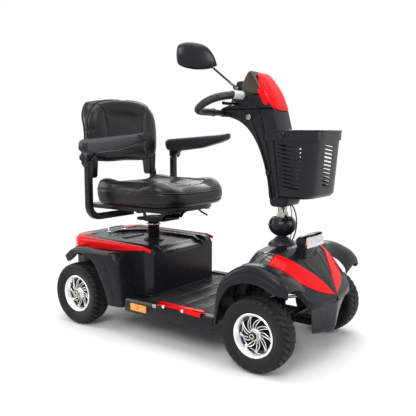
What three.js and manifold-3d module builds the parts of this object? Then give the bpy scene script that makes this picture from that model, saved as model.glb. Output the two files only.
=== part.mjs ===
// Four-wheel mobility scooter: steel chassis, moulded covers, adjustable seat and tilting tiller.
// Millimetres. +X is forward, +Y is the rider's left and +Z is up. The ground is z = 0, and x = 0 is midway
// between the axles.
import * as THREE from "three";
import { mergeVertices } from "three/addons/utils/BufferGeometryUtils.js";
import Module from "manifold-3d";

const wasm = await Module();
wasm.setup();

// ---- Driving dimensions ----
const GAP = 0.3; // clearance between pieces that touch
const WHEELBASE = 870;
const TRACK = 530; // between wheel centre planes
const TYRE_R = 130;
const TYRE_HALF_W = 44;
const RIM_R = 77;
const WHEEL_SIDES = 24;
const AXLE_R = 10;
const FLOOR_Z = 150; // top of the footwell
const FLOOR_HALF_W = 300;
const SHELL = 4; // wall of the moulded covers
const RAIL_Y = 107;
const RAIL_W = 30;
const RAIL_Z = 88;
const RAIL_H = 30;
const KINGPIN_Y = 227;
const KINGPIN_R = 6;
const STEER_ARM = 45;
const WHEEL_PER_TILLER = 0.8; // wheel angle over tiller angle
const TILLER_TURN = 30; // degrees each way
const COLUMN_X = 373;
const COLUMN_R = 17;
const TILT_Z = 458; // tilt pivot height
const BONNET_Z = 390;
const DECK_Z = 345;
const POST_X = -267;
const POST_R = 25;
const POST_TOP = 427;
const RAIL_TOP_Z = 482; // top of the seat's lower slide rails
const SEAT_RAIL_Y = 100;
const PAN_Z = 495;
const PAN_T = 5;
const SEAT_HALF_W = 220;
const SEAT_REAR_X = -424;
const SEAT_FRONT_X = 0;
const CUSHION_TOP = 600;
const BACK_HINGE = { x: -455, z: 640 };
const BACK_HALF_W = 218;
const BACK_BOTTOM = 672;
const BACK_TOP = 950;
const ARM_X = -378; // armrest tube and its receiver
const ARM_Y = 268;
const ARM_HALF_W = 24;
const ARM_PIVOT_Z = 700;
const ARM_TUBE = 28;
const BAR_R = 13; // handlebar grip radius
const GRIP_X = 228; // where the handlebar passes through the head
const GRIP_Z = 933;
const CROSSBAR_X = 134;
const CROSSBAR_Z = 872;
const HEAD_HALF_W = 58;
const BASKET_TOP = 803;
const BASKET_BOTTOM = 570;
const BASKET_REAR_X = 412;
const BASKET_WALL = 3;

const AXLE_X = WHEELBASE / 2;
const WHEEL_Y = TRACK / 2;
const WHEEL_Z = TYRE_R * Math.cos(Math.PI / WHEEL_SIDES); // a flat of each tyre stands on the ground
const SIDES = [
  { name: "right", s: -1 },
  { name: "left", s: 1 },
];

// ---- Finishes ----
const finish = (color, roughness, metalness = 0) =>
  new THREE.MeshStandardMaterial({ color, roughness, metalness });
const CHARCOAL = finish(0x26282b, 0.45);
const BLACK = finish(0x141416, 0.5);
const RED = finish(0xd40a10, 0.15);
const AMBER = finish(0xe07a10, 0.2);
const LENS = finish(0xe8eaee, 0.1);
const STEEL = finish(0x1b1c1e, 0.4, 0.6);
const CHROME = finish(0xd8dade, 0.15, 1);
const ALLOY = finish(0xc8cacd, 0.25, 1);
const RUBBER = finish(0x1a1a1b, 0.8);
const VINYL = finish(0x16161a, 0.35);
const GLASS = finish(0x9aa4ad, 0.05, 0.9);
const BRONZE = finish(0x3b352b, 0.3, 0.4);

// ---- Solids ----
function solid(geometry) {
  const g = geometry.clone();
  g.deleteAttribute("normal");
  if (g.getAttribute("uv")) g.deleteAttribute("uv");
  const merged = mergeVertices(g, 1e-3);
  const triVerts = new Uint32Array(merged.index.array);
  const vertProperties = merged.attributes.position.array;
  const made = new wasm.Manifold(new wasm.Mesh({ numProp: 3, vertProperties, triVerts }));
  if (made.volume() > 0) return made;
  for (let i = 0; i < triVerts.length; i += 3) {
    [triVerts[i + 1], triVerts[i + 2]] = [triVerts[i + 2], triVerts[i + 1]];
  }
  return new wasm.Manifold(new wasm.Mesh({ numProp: 3, vertProperties, triVerts }));
}

const join = (...solids) => solids.reduce((a, b) => a.add(b));
const cut = (first, ...tools) => tools.reduce((a, b) => a.subtract(b), first);
const mirrorY = (s) => s.scale([1, -1, 1]);
const bothSides = (s) => s.add(mirrorY(s));

// A block between two corners; each argument is [low, high].
function block(x, y, z) {
  const g = new THREE.BoxGeometry(x[1] - x[0], y[1] - y[0], z[1] - z[0]);
  return solid(g.translate((x[0] + x[1]) / 2, (y[0] + y[1]) / 2, (z[0] + z[1]) / 2));
}

const vec = (p) => new THREE.Vector3(...p);

// A round bar from a to b.
function rod(a, b, radius, sides = 12, endRadius = radius) {
  const from = vec(a);
  const along = vec(b).sub(from);
  const g = new THREE.CylinderGeometry(endRadius, radius, along.length(), sides);
  const up = new THREE.Vector3(0, 1, 0);
  g.applyQuaternion(new THREE.Quaternion().setFromUnitVectors(up, along.clone().normalize()));
  const middle = from.addScaledVector(along, 0.5);
  return solid(g.translate(middle.x, middle.y, middle.z));
}

// A round bar along a smooth curve through points.
function bentRod(points, radius, sides, steps, tension = 0.5) {
  const section = new THREE.Shape();
  section.absarc(0, 0, radius, 0, 2 * Math.PI, false);
  const extrudePath = new THREE.CatmullRomCurve3(points.map(vec), false, "catmullrom", tension);
  return solid(
    new THREE.ExtrudeGeometry(section, { steps, extrudePath, curveSegments: sides / 2, bevelEnabled: false }),
  );
}

// A closed outline extruded square to one of the planes.
function extrude(outline, from, to, u, v, w) {
  const shape = new THREE.Shape(outline.map(([a, b]) => new THREE.Vector2(a, b)));
  const g = new THREE.ExtrudeGeometry(shape, { depth: to - from, bevelEnabled: false });
  g.translate(0, 0, from).applyMatrix4(new THREE.Matrix4().makeBasis(vec(u), vec(v), vec(w)));
  return solid(g);
}
const plateXY = (outline, z0, z1) => extrude(outline, z0, z1, [1, 0, 0], [0, 1, 0], [0, 0, 1]);
const plateYZ = (outline, x0, x1) => extrude(outline, x0, x1, [0, 1, 0], [0, 0, 1], [1, 0, 0]);
const plateXZ = (outline, y0, y1) => extrude(outline, -y1, -y0, [1, 0, 0], [0, 0, 1], [0, -1, 0]);

// A closed profile of [radius, height] turned about Z.
function turned(profile, sides, x = 0, y = 0) {
  const points = [...profile, profile[0]].map(([r, z]) => new THREE.Vector2(r, z));
  return solid(new THREE.LatheGeometry(points, sides).rotateX(Math.PI / 2).translate(x, y, 0));
}

// Rings of equal point count, skinned and capped.
function loft(rings) {
  const n = rings[0].length;
  const index = [];
  for (let r = 0; r + 1 < rings.length; r++) {
    for (let i = 0; i < n; i++) {
      const a = r * n + i;
      const b = r * n + ((i + 1) % n);
      index.push(a, b, b + n, a, b + n, a + n);
    }
  }
  const last = (rings.length - 1) * n;
  for (let i = 1; i + 1 < n; i++) {
    index.push(0, i + 1, i, last, last + i, last + i + 1);
  }
  const g = new THREE.BufferGeometry();
  g.setAttribute("position", new THREE.Float32BufferAttribute(rings.flat(2), 3));
  g.setIndex(index);
  return solid(g);
}

// An open line of points turned into a strip: offset by near and far to the left of its run.
function strip(points, near, far) {
  const normals = points.map((p, i) => {
    const a = points[Math.max(i - 1, 0)];
    const b = points[Math.min(i + 1, points.length - 1)];
    const length = Math.hypot(b[0] - a[0], b[1] - a[1]);
    return [-(b[1] - a[1]) / length, (b[0] - a[0]) / length];
  });
  const at = (d) => points.map((p, i) => [p[0] + normals[i][0] * d, p[1] + normals[i][1] * d]);
  return [...at(near), ...at(far).reverse()];
}

// A closed outline moved inwards by d; its points run anticlockwise.
function inset(outline, d) {
  const n = outline.length;
  return outline.map((p, i) => {
    const a = outline[(i + n - 1) % n];
    const b = outline[(i + 1) % n];
    const l1 = Math.hypot(p[0] - a[0], p[1] - a[1]);
    const l2 = Math.hypot(b[0] - p[0], b[1] - p[1]);
    const n1 = [-(p[1] - a[1]) / l1, (p[0] - a[0]) / l1];
    const n2 = [-(b[1] - p[1]) / l2, (b[0] - p[0]) / l2];
    const k = d / (1 + n1[0] * n2[0] + n1[1] * n2[1]);
    return [p[0] + (n1[0] + n2[0]) * k, p[1] + (n1[1] + n2[1]) * k];
  });
}

const scooter = new THREE.Group();
function piece(name, s, material) {
  const { numProp, vertProperties, triVerts } = s.getMesh();
  const g = new THREE.BufferGeometry();
  const position = [];
  for (let i = 0; i < vertProperties.length; i += numProp) {
    position.push(vertProperties[i], vertProperties[i + 1], vertProperties[i + 2]);
  }
  g.setAttribute("position", new THREE.Float32BufferAttribute(position, 3));
  g.setIndex([...triVerts]);
  g.computeVertexNormals();
  const mesh = new THREE.Mesh(g, material);
  mesh.name = name;
  scooter.add(mesh);
}

// ---- Chassis ----
const BEAM_X = [AXLE_X - 15, AXLE_X + 15];
const KNUCKLE_Z = [WHEEL_Z - 30, WHEEL_Z + 30];
const TIE_Z = WHEEL_Z + 20; // tie rod level
const PITMAN_R = (STEER_ARM * Math.sin((TILLER_TURN * WHEEL_PER_TILLER * Math.PI) / 180))
  / Math.sin((TILLER_TURN * Math.PI) / 180);
const HEAD_TUBE_BOTTOM = TIE_Z + 26;
const RAIL = [RAIL_Y - RAIL_W / 2, RAIL_Y + RAIL_W / 2];
const RAIL_SPAN = [RAIL_Z, RAIL_Z + RAIL_H];
const REAR_PLATE_X = [-AXLE_X + 35, -AXLE_X + 55];
const REAR_POST_TOP = DECK_Z - SHELL - GAP;

function mainFrame() {
  const rails = bothSides(block([REAR_PLATE_X[0], BEAM_X[1]], RAIL, RAIL_SPAN));
  const beam = block(BEAM_X, [-192, 192], [WHEEL_Z - 20, WHEEL_Z + 10]);
  const forkPlates = [
    [KNUCKLE_Z[0] - 6, KNUCKLE_Z[0]],
    [KNUCKLE_Z[1], KNUCKLE_Z[1] + 6],
  ].map((z) => block(BEAM_X, [180, KINGPIN_Y + 11], z));
  const forkBack = block(BEAM_X, [180, 192], [KNUCKLE_Z[0] - 6, KNUCKLE_Z[1] + 6]);
  const kingpin = rod(
    [AXLE_X, KINGPIN_Y, KNUCKLE_Z[0] - 3], [AXLE_X, KINGPIN_Y, KNUCKLE_Z[1] + 3], KINGPIN_R,
  );
  const headTube = rod([COLUMN_X, 0, HEAD_TUBE_BOTTOM], [COLUMN_X, 0, 372], COLUMN_R + 9, 16);
  const bonnetPlate = block([COLUMN_X - 24, COLUMN_X + 33], [-50, 50], [362, BONNET_Z - SHELL - 12]);
  const struts = bothSides(rod([AXLE_X, RAIL_Y, RAIL_Z + 20], [COLUMN_X + 18, 12, 300], 12, 8));
  const nose = block([AXLE_X, 548.7], [-30, 30], [WHEEL_Z - 20, WHEEL_Z]);
  const crossMembers = [-140, 200].map((x) =>
    block([x, x + 20], [-RAIL[1], RAIL[1]], [RAIL_Z, FLOOR_Z - SHELL - GAP]),
  );
  const seatBase = block([POST_X - 33, POST_X + 33], [-RAIL[1], RAIL[1]], RAIL_SPAN);
  const tower = rod([POST_X, 0, RAIL_Z + 12], [POST_X, 0, DECK_Z - 1], POST_R + 5, 20);
  const towerBore = rod([POST_X, 0, RAIL_Z + RAIL_H], [POST_X, 0, DECK_Z + 5], POST_R + GAP, 20);
  const tray = block([POST_X - 78, POST_X + 112], [-205, 205], [RAIL_Z - 4, RAIL_Z + 1]);
  const rearPlate = block(REAR_PLATE_X, [-RAIL[1], RAIL[1]], [RAIL_Z, 200]);
  const rearPost = block(REAR_PLATE_X, [-60, 60], [190, REAR_POST_TOP]);
  const body = join(
    rails, beam, bothSides(join(...forkPlates, forkBack, kingpin)), headTube, bonnetPlate, struts,
    nose, ...crossMembers, seatBase, tower, tray, rearPlate, rearPost,
  );
  const boreR = (COLUMN_R + GAP) / Math.cos(Math.PI / 16); // its flats clear the turning column's corners
  const columnBore = rod([COLUMN_X, 0, 100], [COLUMN_X, 0, 400], boreR, 16);
  return cut(body, towerBore, columnBore);
}
piece("main_frame", mainFrame(), STEEL);

const PAN_X = [-150, 271];
const RISER_TOP = [320 - GAP, 332]; // x and z of the top of the footwell's front wall
function floorPan() {
  const half = [
    [FLOOR_HALF_W, 108], [FLOOR_HALF_W, FLOOR_Z - 2], [FLOOR_HALF_W - 8, FLOOR_Z + 8],
    [FLOOR_HALF_W - 38, FLOOR_Z + 8], [FLOOR_HALF_W - 46, FLOOR_Z],
  ];
  const mirrored = half.map(([y, z]) => [-y, z]).reverse();
  const outer = [...half, ...mirrored];
  const inner = [
    [-FLOOR_HALF_W + SHELL, 108], [-FLOOR_HALF_W + SHELL, FLOOR_Z - SHELL],
    [FLOOR_HALF_W - SHELL, FLOOR_Z - SHELL], [FLOOR_HALF_W - SHELL, 108],
  ];
  const pan = plateYZ([...outer, ...inner], PAN_X[0], PAN_X[1]);
  const riser = strip([[PAN_X[1] - 1, FLOOR_Z - 30], [PAN_X[1] - 1, FLOOR_Z], RISER_TOP], 0, SHELL);
  return join(pan, plateXZ(riser, -185, 185));
}
piece("floor_pan", floorPan(), CHARCOAL);

piece(
  "floor_mat",
  block([-88, PAN_X[1] - 12], [-FLOOR_HALF_W + 52, FLOOR_HALF_W - 52], [FLOOR_Z + GAP, FLOOR_Z + 4]),
  RUBBER,
);

const SILL_X = [14, 235];
for (const { name, s } of SIDES) {
  const trim = [
    [FLOOR_HALF_W + 4, 142], [FLOOR_HALF_W + 4, FLOOR_Z + 9], [FLOOR_HALF_W - 6, FLOOR_Z + 20],
    [FLOOR_HALF_W - 36, FLOOR_Z + 20], [FLOOR_HALF_W - 36, FLOOR_Z + 8 + GAP],
    [FLOOR_HALF_W - 8, FLOOR_Z + 8 + GAP], [FLOOR_HALF_W + GAP, FLOOR_Z - 2], [FLOOR_HALF_W + GAP, 142],
  ].map(([y, z]) => [y * s, z]);
  piece("sill_trim_" + name, plateYZ(trim, ...SILL_X), RED);
  const y = [FLOOR_HALF_W + GAP, FLOOR_HALF_W + 6].map((v) => v * s).sort((a, b) => a - b);
  piece("side_reflector_" + name, block([-117, -35], y, [118, 147]), AMBER);
}

// Bonnet cross-sections: x, half width, side height, crown half width, crown height.
const BONNET = [
  [320, 185, 318, 100, 340], [345, 195, 335, 120, BONNET_Z - 4], [400, 200, 342, 150, BONNET_Z],
  [440, 200, 342, 150, BONNET_Z - 6], [485, 198, 330, 130, 360], [524, 192, 300, 100, 324],
  [560, 186, 265, 60, 290], [592, 178, 236, 20, 244], [598, 170, 226, 10, 233],
];
const BONNET_RIM = 12;
function bonnetSolid(grow, floor = BONNET_RIM) {
  return loft(
    BONNET.map(([x, w, side, crown, top], i) => {
      const at = x + (i === 0 ? -grow : i === BONNET.length - 1 ? grow : 0);
      const half = [
        [w + grow, side - floor], [w + grow, side], [crown, top - 8 + grow],
      ];
      const left = half.map(([y, z]) => [at, y, z]);
      const right = half.map(([y, z]) => [at, -y, z]).reverse();
      return [...left, [at, 0, top + grow], ...right];
    }),
  );
}

// Front fender: its top line from the tail round to the tip, and the edge of its arch.
const FENDER_TOP = [
  [272, 142], [290, 275], [325, 322], [387, 357], [448, 361], [521, 344], [566, 318], [578, 296],
];
const FENDER_ARCH = [[557, 281], [507, 291], [459, 304], [403, 305], [340, 280], [303, 225], [288, 142]];
const FENDER_Y = [196, 303];
function frontShroud() {
  const hood = cut(bonnetSolid(0), bonnetSolid(-SHELL, BONNET_RIM + 20));
  const top = plateXZ(strip(FENDER_TOP, -SHELL, 0), ...FENDER_Y);
  const lip = plateXZ([...FENDER_TOP, ...FENDER_ARCH].reverse(), FENDER_Y[1] - SHELL, FENDER_Y[1]);
  const hole = rod([COLUMN_X, 0, 300], [COLUMN_X, 0, 450], 40, 20);
  const fenders = bothSides(join(top, lip));
  return cut(join(hood, cut(fenders, bonnetSolid(-1, BONNET_RIM - 1))), hole);
}
piece("front_shroud", frontShroud(), CHARCOAL);

// Red leaves laid on the bonnet's shoulders, seen from above.
const LEAF = [
  [592, 12], [575, 105], [540, 168], [490, 192], [428, 205], [440, 150], [485, 120], [530, 70], [565, 30],
];
const bonnetSkin = cut(bonnetSolid(3 + GAP, 30), bonnetSolid(GAP, 60));
for (const { name, s } of SIDES) {
  const leaf = plateXY(LEAF.map(([x, y]) => [x, y * s]), 225, 420);
  const skirt = block([300, 620], [-260, 260], [100, 236]);
  const cutBack = cut(bonnetSkin.intersect(leaf), skirt, frontShroudOutline());
  piece("nose_panel_" + name, largest(cutBack), RED);
}
function frontShroudOutline() {
  const top = plateXZ(strip(FENDER_TOP, -SHELL - GAP, 6), FENDER_Y[0] - 3, FENDER_Y[1]);
  return bothSides(top);
}
function largest(s) {
  return s.decompose().reduce((a, b) => (a.volume() > b.volume() ? a : b));
}

// Prow plate under the nose, folded down its centre line.
function bumperPlate() {
  const top = BONNET[BONNET.length - 1][2] - BONNET_RIM - GAP;
  const edge = [[582, 168, top], [592, 0, top], [560, 0, 92], [543, 58, 92]];
  const ring = (dx) => edge.map(([x, y, z]) => [x + dx, y, z]);
  const half = loft([ring(0), ring(-SHELL)]);
  return join(bothSides(half), block([549, 566], [-20, 20], [WHEEL_Z - 18, WHEEL_Z - 2]));
}
piece("bumper_plate", bumperPlate(), CHARCOAL);

const LAMP = { x: [442, 506], y: 68, z: [350, 430] };
piece(
  "headlight",
  cut(block(LAMP.x, [-LAMP.y, LAMP.y], LAMP.z), bonnetSolid(GAP, 60)),
  LENS,
);
const BOOT_R = 48;
const BOOT_BASE = BONNET_Z + 0.6;
piece(
  "steering_boot",
  turned(
    [
      [BOOT_R, BOOT_BASE], [BOOT_R - 2, BOOT_BASE + 3], [24, BOOT_BASE + 23],
      [COLUMN_R + 0.6, BOOT_BASE + 23], [COLUMN_R + 0.6, BOOT_BASE + 20], [BOOT_R - 8, BOOT_BASE],
    ],
    20, COLUMN_X,
  ),
  RUBBER,
);

// Rear cover cross-sections: x, half width, deck height.
const DECK = [
  [-92, 203, DECK_Z - 9], [-130, 207, DECK_Z], [-480, 214, DECK_Z + 5], [-550, 190, DECK_Z + 8],
  [-592, 120, DECK_Z + 6], [-600, 60, DECK_Z],
];
const DECK_EDGE = 12;
function deckSolid(grow, bottom) {
  return loft(
    DECK.map(([x, w, top], i) => {
      const at = x + (i === 0 ? grow : i === DECK.length - 1 ? -grow : 0);
      const half = [[w + grow, bottom], [w + grow, top - DECK_EDGE], [w - DECK_EDGE, top + grow]];
      const left = half.map(([y, z]) => [at, y, z]);
      return [...left, ...half.map(([y, z]) => [at, -y, z]).reverse()];
    }),
  );
}
const REAR_FENDER_TOP = [
  [-170, 116], [-200, 250], [-216, 366], [-256, 362], [-328, 328], [-440, 331], [-484, 312], [-512, 277],
];
const REAR_FENDER_ARCH = [[-468, 262], [-430, 300], [-386, 306], [-330, 285], [-290, 228], [-244, 112]];
const REAR_FENDER_Y = [205, 300];
function rearCover() {
  const bottom = FLOOR_Z + GAP;
  const shell = cut(deckSolid(0, bottom), deckSolid(-SHELL, bottom - 20));
  const top = plateXZ(strip(REAR_FENDER_TOP, 0, SHELL), ...REAR_FENDER_Y);
  const lip = plateXZ(
    [...REAR_FENDER_TOP, ...REAR_FENDER_ARCH], REAR_FENDER_Y[1] - SHELL, REAR_FENDER_Y[1],
  );
  const aheadOfPan = block([PAN_X[0] - GAP, 0], [-400, 400], [0, bottom]);
  const fenders = bothSides(cut(join(top, lip), aheadOfPan));
  const postHole = rod([POST_X, 0, 300], [POST_X, 0, 400], POST_R + 7, 20);
  const tail = block([-620, REAR_PLATE_X[0] + 5], [-260, 260], [0, 210]);
  const tailless = cut(shell, tail);
  return cut(join(tailless, cut(fenders, deckSolid(-1, bottom - 40))), postHole);
}
piece("rear_cover", rearCover(), CHARCOAL);

// Red band round the tail of the deck, tapering to a point along each side.
const BAND = [
  [-104, DECK_Z - 17], [-104, DECK_Z - 13], [-130, DECK_Z - 2], [-480, DECK_Z + 3], [-550, DECK_Z + 6],
  [-592, DECK_Z + 4], [-606, DECK_Z - 2], [-606, DECK_Z - 34], [-480, DECK_Z - 30],
];
function rearTrim() {
  const skin = cut(deckSolid(3 + GAP, 200), deckSolid(GAP, 180));
  const fenders = bothSides(
    plateXZ(strip(REAR_FENDER_TOP, -GAP, SHELL + GAP), REAR_FENDER_Y[0] - 3, REAR_FENDER_Y[1]),
  );
  return largest(cut(skin.intersect(plateXZ([...BAND].reverse(), -240, 240)), fenders));
}
piece("rear_trim", rearTrim(), RED);

piece(
  "carry_handle",
  bentRod(
    [[-500, -48, DECK_Z + 8], [-500, -44, 366], [-500, 0, 371], [-500, 44, 366], [-500, 48, DECK_Z + 8]],
    5, 8, 12,
  ),
  CHROME,
);
for (const { name, s } of SIDES) {
  const y = [POST_R + 12, 203].map((v) => v * s).sort((a, b) => a - b);
  const z = RAIL_Z + RAIL_H + GAP;
  piece("battery_" + name, block([POST_X - 78, POST_X + 112], y, [z, z + 170]), BLACK);
}
piece("controller", block([-142, -104], [-90, 90], [FLOOR_Z + GAP, FLOOR_Z + 80]), BLACK);

const MOTOR_Z = WHEEL_Z + 20;
function nut(y, s) {
  return rod([0, y, 0], [0, y + s * 9, 0], 15, 6);
}
function transaxle() {
  const housing = rod([-AXLE_X, -190, WHEEL_Z], [-AXLE_X, 190, WHEEL_Z], 24, 14);
  const gearbox = block([-AXLE_X - 45, -AXLE_X + 25], [-50, 50], [WHEEL_Z - 50, WHEEL_Z + 50]);
  const motor = rod([-AXLE_X - 35, 0, MOTOR_Z], [-575, 0, MOTOR_Z], 42, 16);
  const flange = block([-AXLE_X + 20, REAR_PLATE_X[0] - GAP], [-80, 80], [WHEEL_Z - 35, WHEEL_Z + 45]);
  const hubEnd = WHEEL_Y + 30 + GAP;
  const shaft = rod([-AXLE_X, -hubEnd - 3, WHEEL_Z], [-AXLE_X, hubEnd + 3, WHEEL_Z], AXLE_R, 12);
  const nuts = bothSides(nut(hubEnd, 1)).translate([-AXLE_X, 0, WHEEL_Z]);
  const shoulder = bothSides(rod([0, 185, 0], [0, WHEEL_Y - 31, 0], 16, 12)).translate([-AXLE_X, 0, WHEEL_Z]);
  return join(housing, gearbox, motor, flange, shaft, nuts, shoulder);
}
piece("transaxle", transaxle(), STEEL);
function freewheelLever() {
  const x = -AXLE_X - 35;
  const hub = rod([x, -50 - GAP, MOTOR_Z + 15], [x, -62, MOTOR_Z + 15], 9, 12);
  return join(hub, rod([x, -57, MOTOR_Z + 15], [x - 50, -57, MOTOR_Z + 75], 4, 8));
}
piece("freewheel_lever", freewheelLever(), RED);

// ---- Wheels: profiles are [radius, distance outboard of the wheel's centre plane] ----
const HUB_R = 24;
const HUB_HALF = 30;
const TYRE_PROFILE = [
  [RIM_R + GAP, -30], [95, -41], [110, -TYRE_HALF_W], [123, -37], [TYRE_R, -22],
  [TYRE_R, 22], [123, 37], [110, TYRE_HALF_W], [95, 41], [RIM_R + GAP, 30],
];
const RIM_PROFILE = [
  [AXLE_R + GAP, -HUB_HALF], [HUB_R, -HUB_HALF], [HUB_R, 8], [63, 12], [63, -30], [RIM_R, -30],
  [RIM_R, 30], [70, 36], [63, 30], [HUB_R, 18], [HUB_R, HUB_HALF], [AXLE_R + GAP, HUB_HALF],
];
const SPOKES = 9;
function wheelTurned(profile) {
  const points = [...profile, profile[0]].map(([r, y]) => new THREE.Vector2(r, y));
  return solid(new THREE.LatheGeometry(points, WHEEL_SIDES, Math.PI / WHEEL_SIDES));
}
function rim() {
  let made = wheelTurned(RIM_PROFILE);
  const half = (0.62 * Math.PI) / SPOKES;
  for (let i = 0; i < SPOKES; i++) {
    const at = (r, a) => [r * Math.cos(a), r * Math.sin(a)];
    const mid = (2 * Math.PI * i) / SPOKES;
    const window = [at(30, mid - half), at(59, mid - half), at(59, mid + half), at(30, mid + half)];
    made = made.subtract(plateXZ(window, -5, 45));
  }
  return made;
}
const rightHanded = { tyre: wheelTurned(TYRE_PROFILE), rim: rim() };
for (const [end, x] of [["front", AXLE_X], ["rear", -AXLE_X]]) {
  for (const { name, s } of SIDES) {
    for (const [part, material] of [["tyre", RUBBER], ["rim", ALLOY]]) {
      const wheel = s > 0 ? rightHanded[part] : mirrorY(rightHanded[part]);
      piece([part, end, name].join("_"), wheel.translate([x, s * WHEEL_Y, WHEEL_Z]), material);
    }
  }
}

// ---- Steering ----
function knuckle() {
  const body = block([AXLE_X - 11, AXLE_X + 11], [216, 234 - GAP], [KNUCKLE_Z[0] + GAP, KNUCKLE_Z[1] - GAP]);
  const stub = rod([AXLE_X, 225, WHEEL_Z], [AXLE_X, WHEEL_Y + HUB_HALF + GAP + 3, WHEEL_Z], AXLE_R, 12);
  const arm = block([AXLE_X - STEER_ARM - 8, AXLE_X], [KINGPIN_Y - 7, 234 - GAP], [TIE_Z - 6, TIE_Z + 6]);
  const stud = rod(
    [AXLE_X - STEER_ARM, KINGPIN_Y, TIE_Z + 4], [AXLE_X - STEER_ARM, KINGPIN_Y, TIE_Z + 17], 4, 10,
  );
  const end = nut(WHEEL_Y + HUB_HALF + GAP, 1).translate([AXLE_X, 0, WHEEL_Z]);
  const bore = rod([AXLE_X, KINGPIN_Y, 0], [AXLE_X, KINGPIN_Y, 300], KINGPIN_R + GAP);
  return join(cut(join(body, arm), bore), cut(stub, bore), stud, end);
}
const leftKnuckle = knuckle();
piece("knuckle_right", mirrorY(leftKnuckle), STEEL);
piece("knuckle_left", leftKnuckle, STEEL);

const TIE_TOP = [TIE_Z + 6.5, TIE_Z + 14.5];
const TIE_EYE_R = 6;
function tieRod() {
  const x0 = AXLE_X - STEER_ARM;
  const xm = COLUMN_X - PITMAN_R;
  const end = KINGPIN_Y + 7;
  const line = [[x0, end], [x0, 140], [xm, 70], [xm, -70], [x0, -140], [x0, -end]];
  const bar = plateXY(strip(line, -8, 8), ...TIE_TOP);
  const eyes = bothSides(rod([x0, KINGPIN_Y, TIE_Z], [x0, KINGPIN_Y, TIE_Z + 30], 4 + GAP, 10));
  const centre = rod([xm, 0, TIE_Z], [xm, 0, TIE_Z + 30], TIE_EYE_R, 12);
  return cut(bar, eyes, centre);
}
piece("tie_rod", tieRod(), STEEL);

const PITMAN_Z = [TIE_TOP[1] + 1, HEAD_TUBE_BOTTOM - GAP];
function steeringColumn() {
  const shaft = rod([COLUMN_X, 0, PITMAN_Z[0]], [COLUMN_X, 0, TILT_Z - 26], COLUMN_R, 16);
  const pitman = block([COLUMN_X - PITMAN_R - 9, COLUMN_X], [-11, 11], PITMAN_Z);
  const pin = rod(
    [COLUMN_X - PITMAN_R, 0, TIE_TOP[0] + 1], [COLUMN_X - PITMAN_R, 0, PITMAN_Z[1]], 4, 10,
  );
  const tang = block([COLUMN_X - 14, COLUMN_X + 14], [-7, 7], [TILT_Z - 40, TILT_Z + 10]);
  const pivot = rod([COLUMN_X, -30, TILT_Z], [COLUMN_X, 30, TILT_Z], 8);
  return join(shaft, pitman, pin, tang, pivot);
}
piece("steering_column", steeringColumn(), STEEL);

const BALL_R = 52;
const BALL_HALF_H = 44;
function tiltCover() {
  const arc = (wall, from, to, count) => {
    const points = [];
    for (let i = 0; i <= count; i++) {
      const a = ((from + ((to - from) * i) / count) * Math.PI) / 180;
      points.push([(BALL_R - wall) * Math.sin(a), TILT_Z - (BALL_HALF_H - wall) * Math.cos(a)]);
    }
    return points;
  };
  const foot = (Math.asin((COLUMN_R + GAP) / BALL_R) * 180) / Math.PI;
  const footIn = (Math.asin((COLUMN_R + GAP) / (BALL_R - SHELL)) * 180) / Math.PI;
  return turned([...arc(0, foot, 132, 5), ...arc(SHELL, 130, footIn, 5)], 18, COLUMN_X);
}
piece("tilt_cover", tiltCover(), BLACK);

// ---- Tiller ----
const COVER_FRONT = [[420, 545], [413, 620], [405, 700], [393, 770], [383, 808], [367, 872]];
const COVER_REAR = [
  [118, 858], [160, 856], [211, 838], [254, 804], [291, 752], [318, 690], [337, 620], [345, 532],
];
const SPLIT_Z = 885;
const frontX = (z) => {
  const i = COVER_FRONT.findIndex((p, k) => k > 0 && p[1] >= z);
  const [a, b] = [COVER_FRONT[i - 1], COVER_FRONT[i]];
  return a[0] + ((b[0] - a[0]) * (z - a[1])) / (b[1] - a[1]);
};
const COVER_OUTLINE = [
  ...COVER_FRONT, [363, SPLIT_Z - GAP], [118, SPLIT_Z - GAP], ...COVER_REAR, [400, 528],
];
const COVER_HALF_W = 52;
function tillerCover() {
  const outer = plateXZ(COVER_OUTLINE, -COVER_HALF_W, COVER_HALF_W);
  const wall = COVER_HALF_W - SHELL;
  const cavity = plateXZ(inset(COVER_OUTLINE, SHELL), -wall, wall);
  const mouth = block([354, 398], [-34, 34], [500, 560]);
  const socket = block([345, 402], [-wall - 1, wall + 1], [690, 715]);
  const crossbar = rod([CROSSBAR_X, -80, CROSSBAR_Z], [CROSSBAR_X, 80, CROSSBAR_Z], BAR_R + GAP + 0.2, 14);
  const clampBlock = block([119, 160], [-wall - 1, wall + 1], [857, SPLIT_Z - 1]);
  const tube = rod([COLUMN_X, 0, 480], [COLUMN_X, 0, 745], COLUMN_R + GAP, 16);
  return cut(join(cut(outer, cavity, mouth), socket, clampBlock), crossbar, tube);
}
piece("tiller_cover", tillerCover(), CHARCOAL);

function tillerTube() {
  const tube = rod([COLUMN_X, 0, TILT_Z + 38], [COLUMN_X, 0, 740], COLUMN_R, 16);
  const cheeks = bothSides(block([COLUMN_X - 15, COLUMN_X + 15], [7.5, 17], [TILT_Z - 14, TILT_Z + 48]));
  const bridge = block([COLUMN_X - 15, COLUMN_X + 15], [-17, 17], [TILT_Z + 26, TILT_Z + 48]);
  const bore = rod([COLUMN_X, -40, TILT_Z], [COLUMN_X, 40, TILT_Z], 8 + GAP);
  return cut(join(tube, cheeks, bridge), bore);
}
piece("tiller_tube", tillerTube(), STEEL);

const HEAD_REAR = [[160, SPLIT_Z], [196, 985]]; // the console face, towards the rider
const HEAD_OUTLINE = [[363, SPLIT_Z], [340, 939], [272, 1024], [243, 1027], HEAD_REAR[1], HEAD_REAR[0]];
const faceLength = Math.hypot(HEAD_REAR[1][0] - HEAD_REAR[0][0], HEAD_REAR[1][1] - HEAD_REAR[0][1]);
const FACE_UP = [0, 1].map((i) => (HEAD_REAR[1][i] - HEAD_REAR[0][i]) / faceLength);
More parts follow.
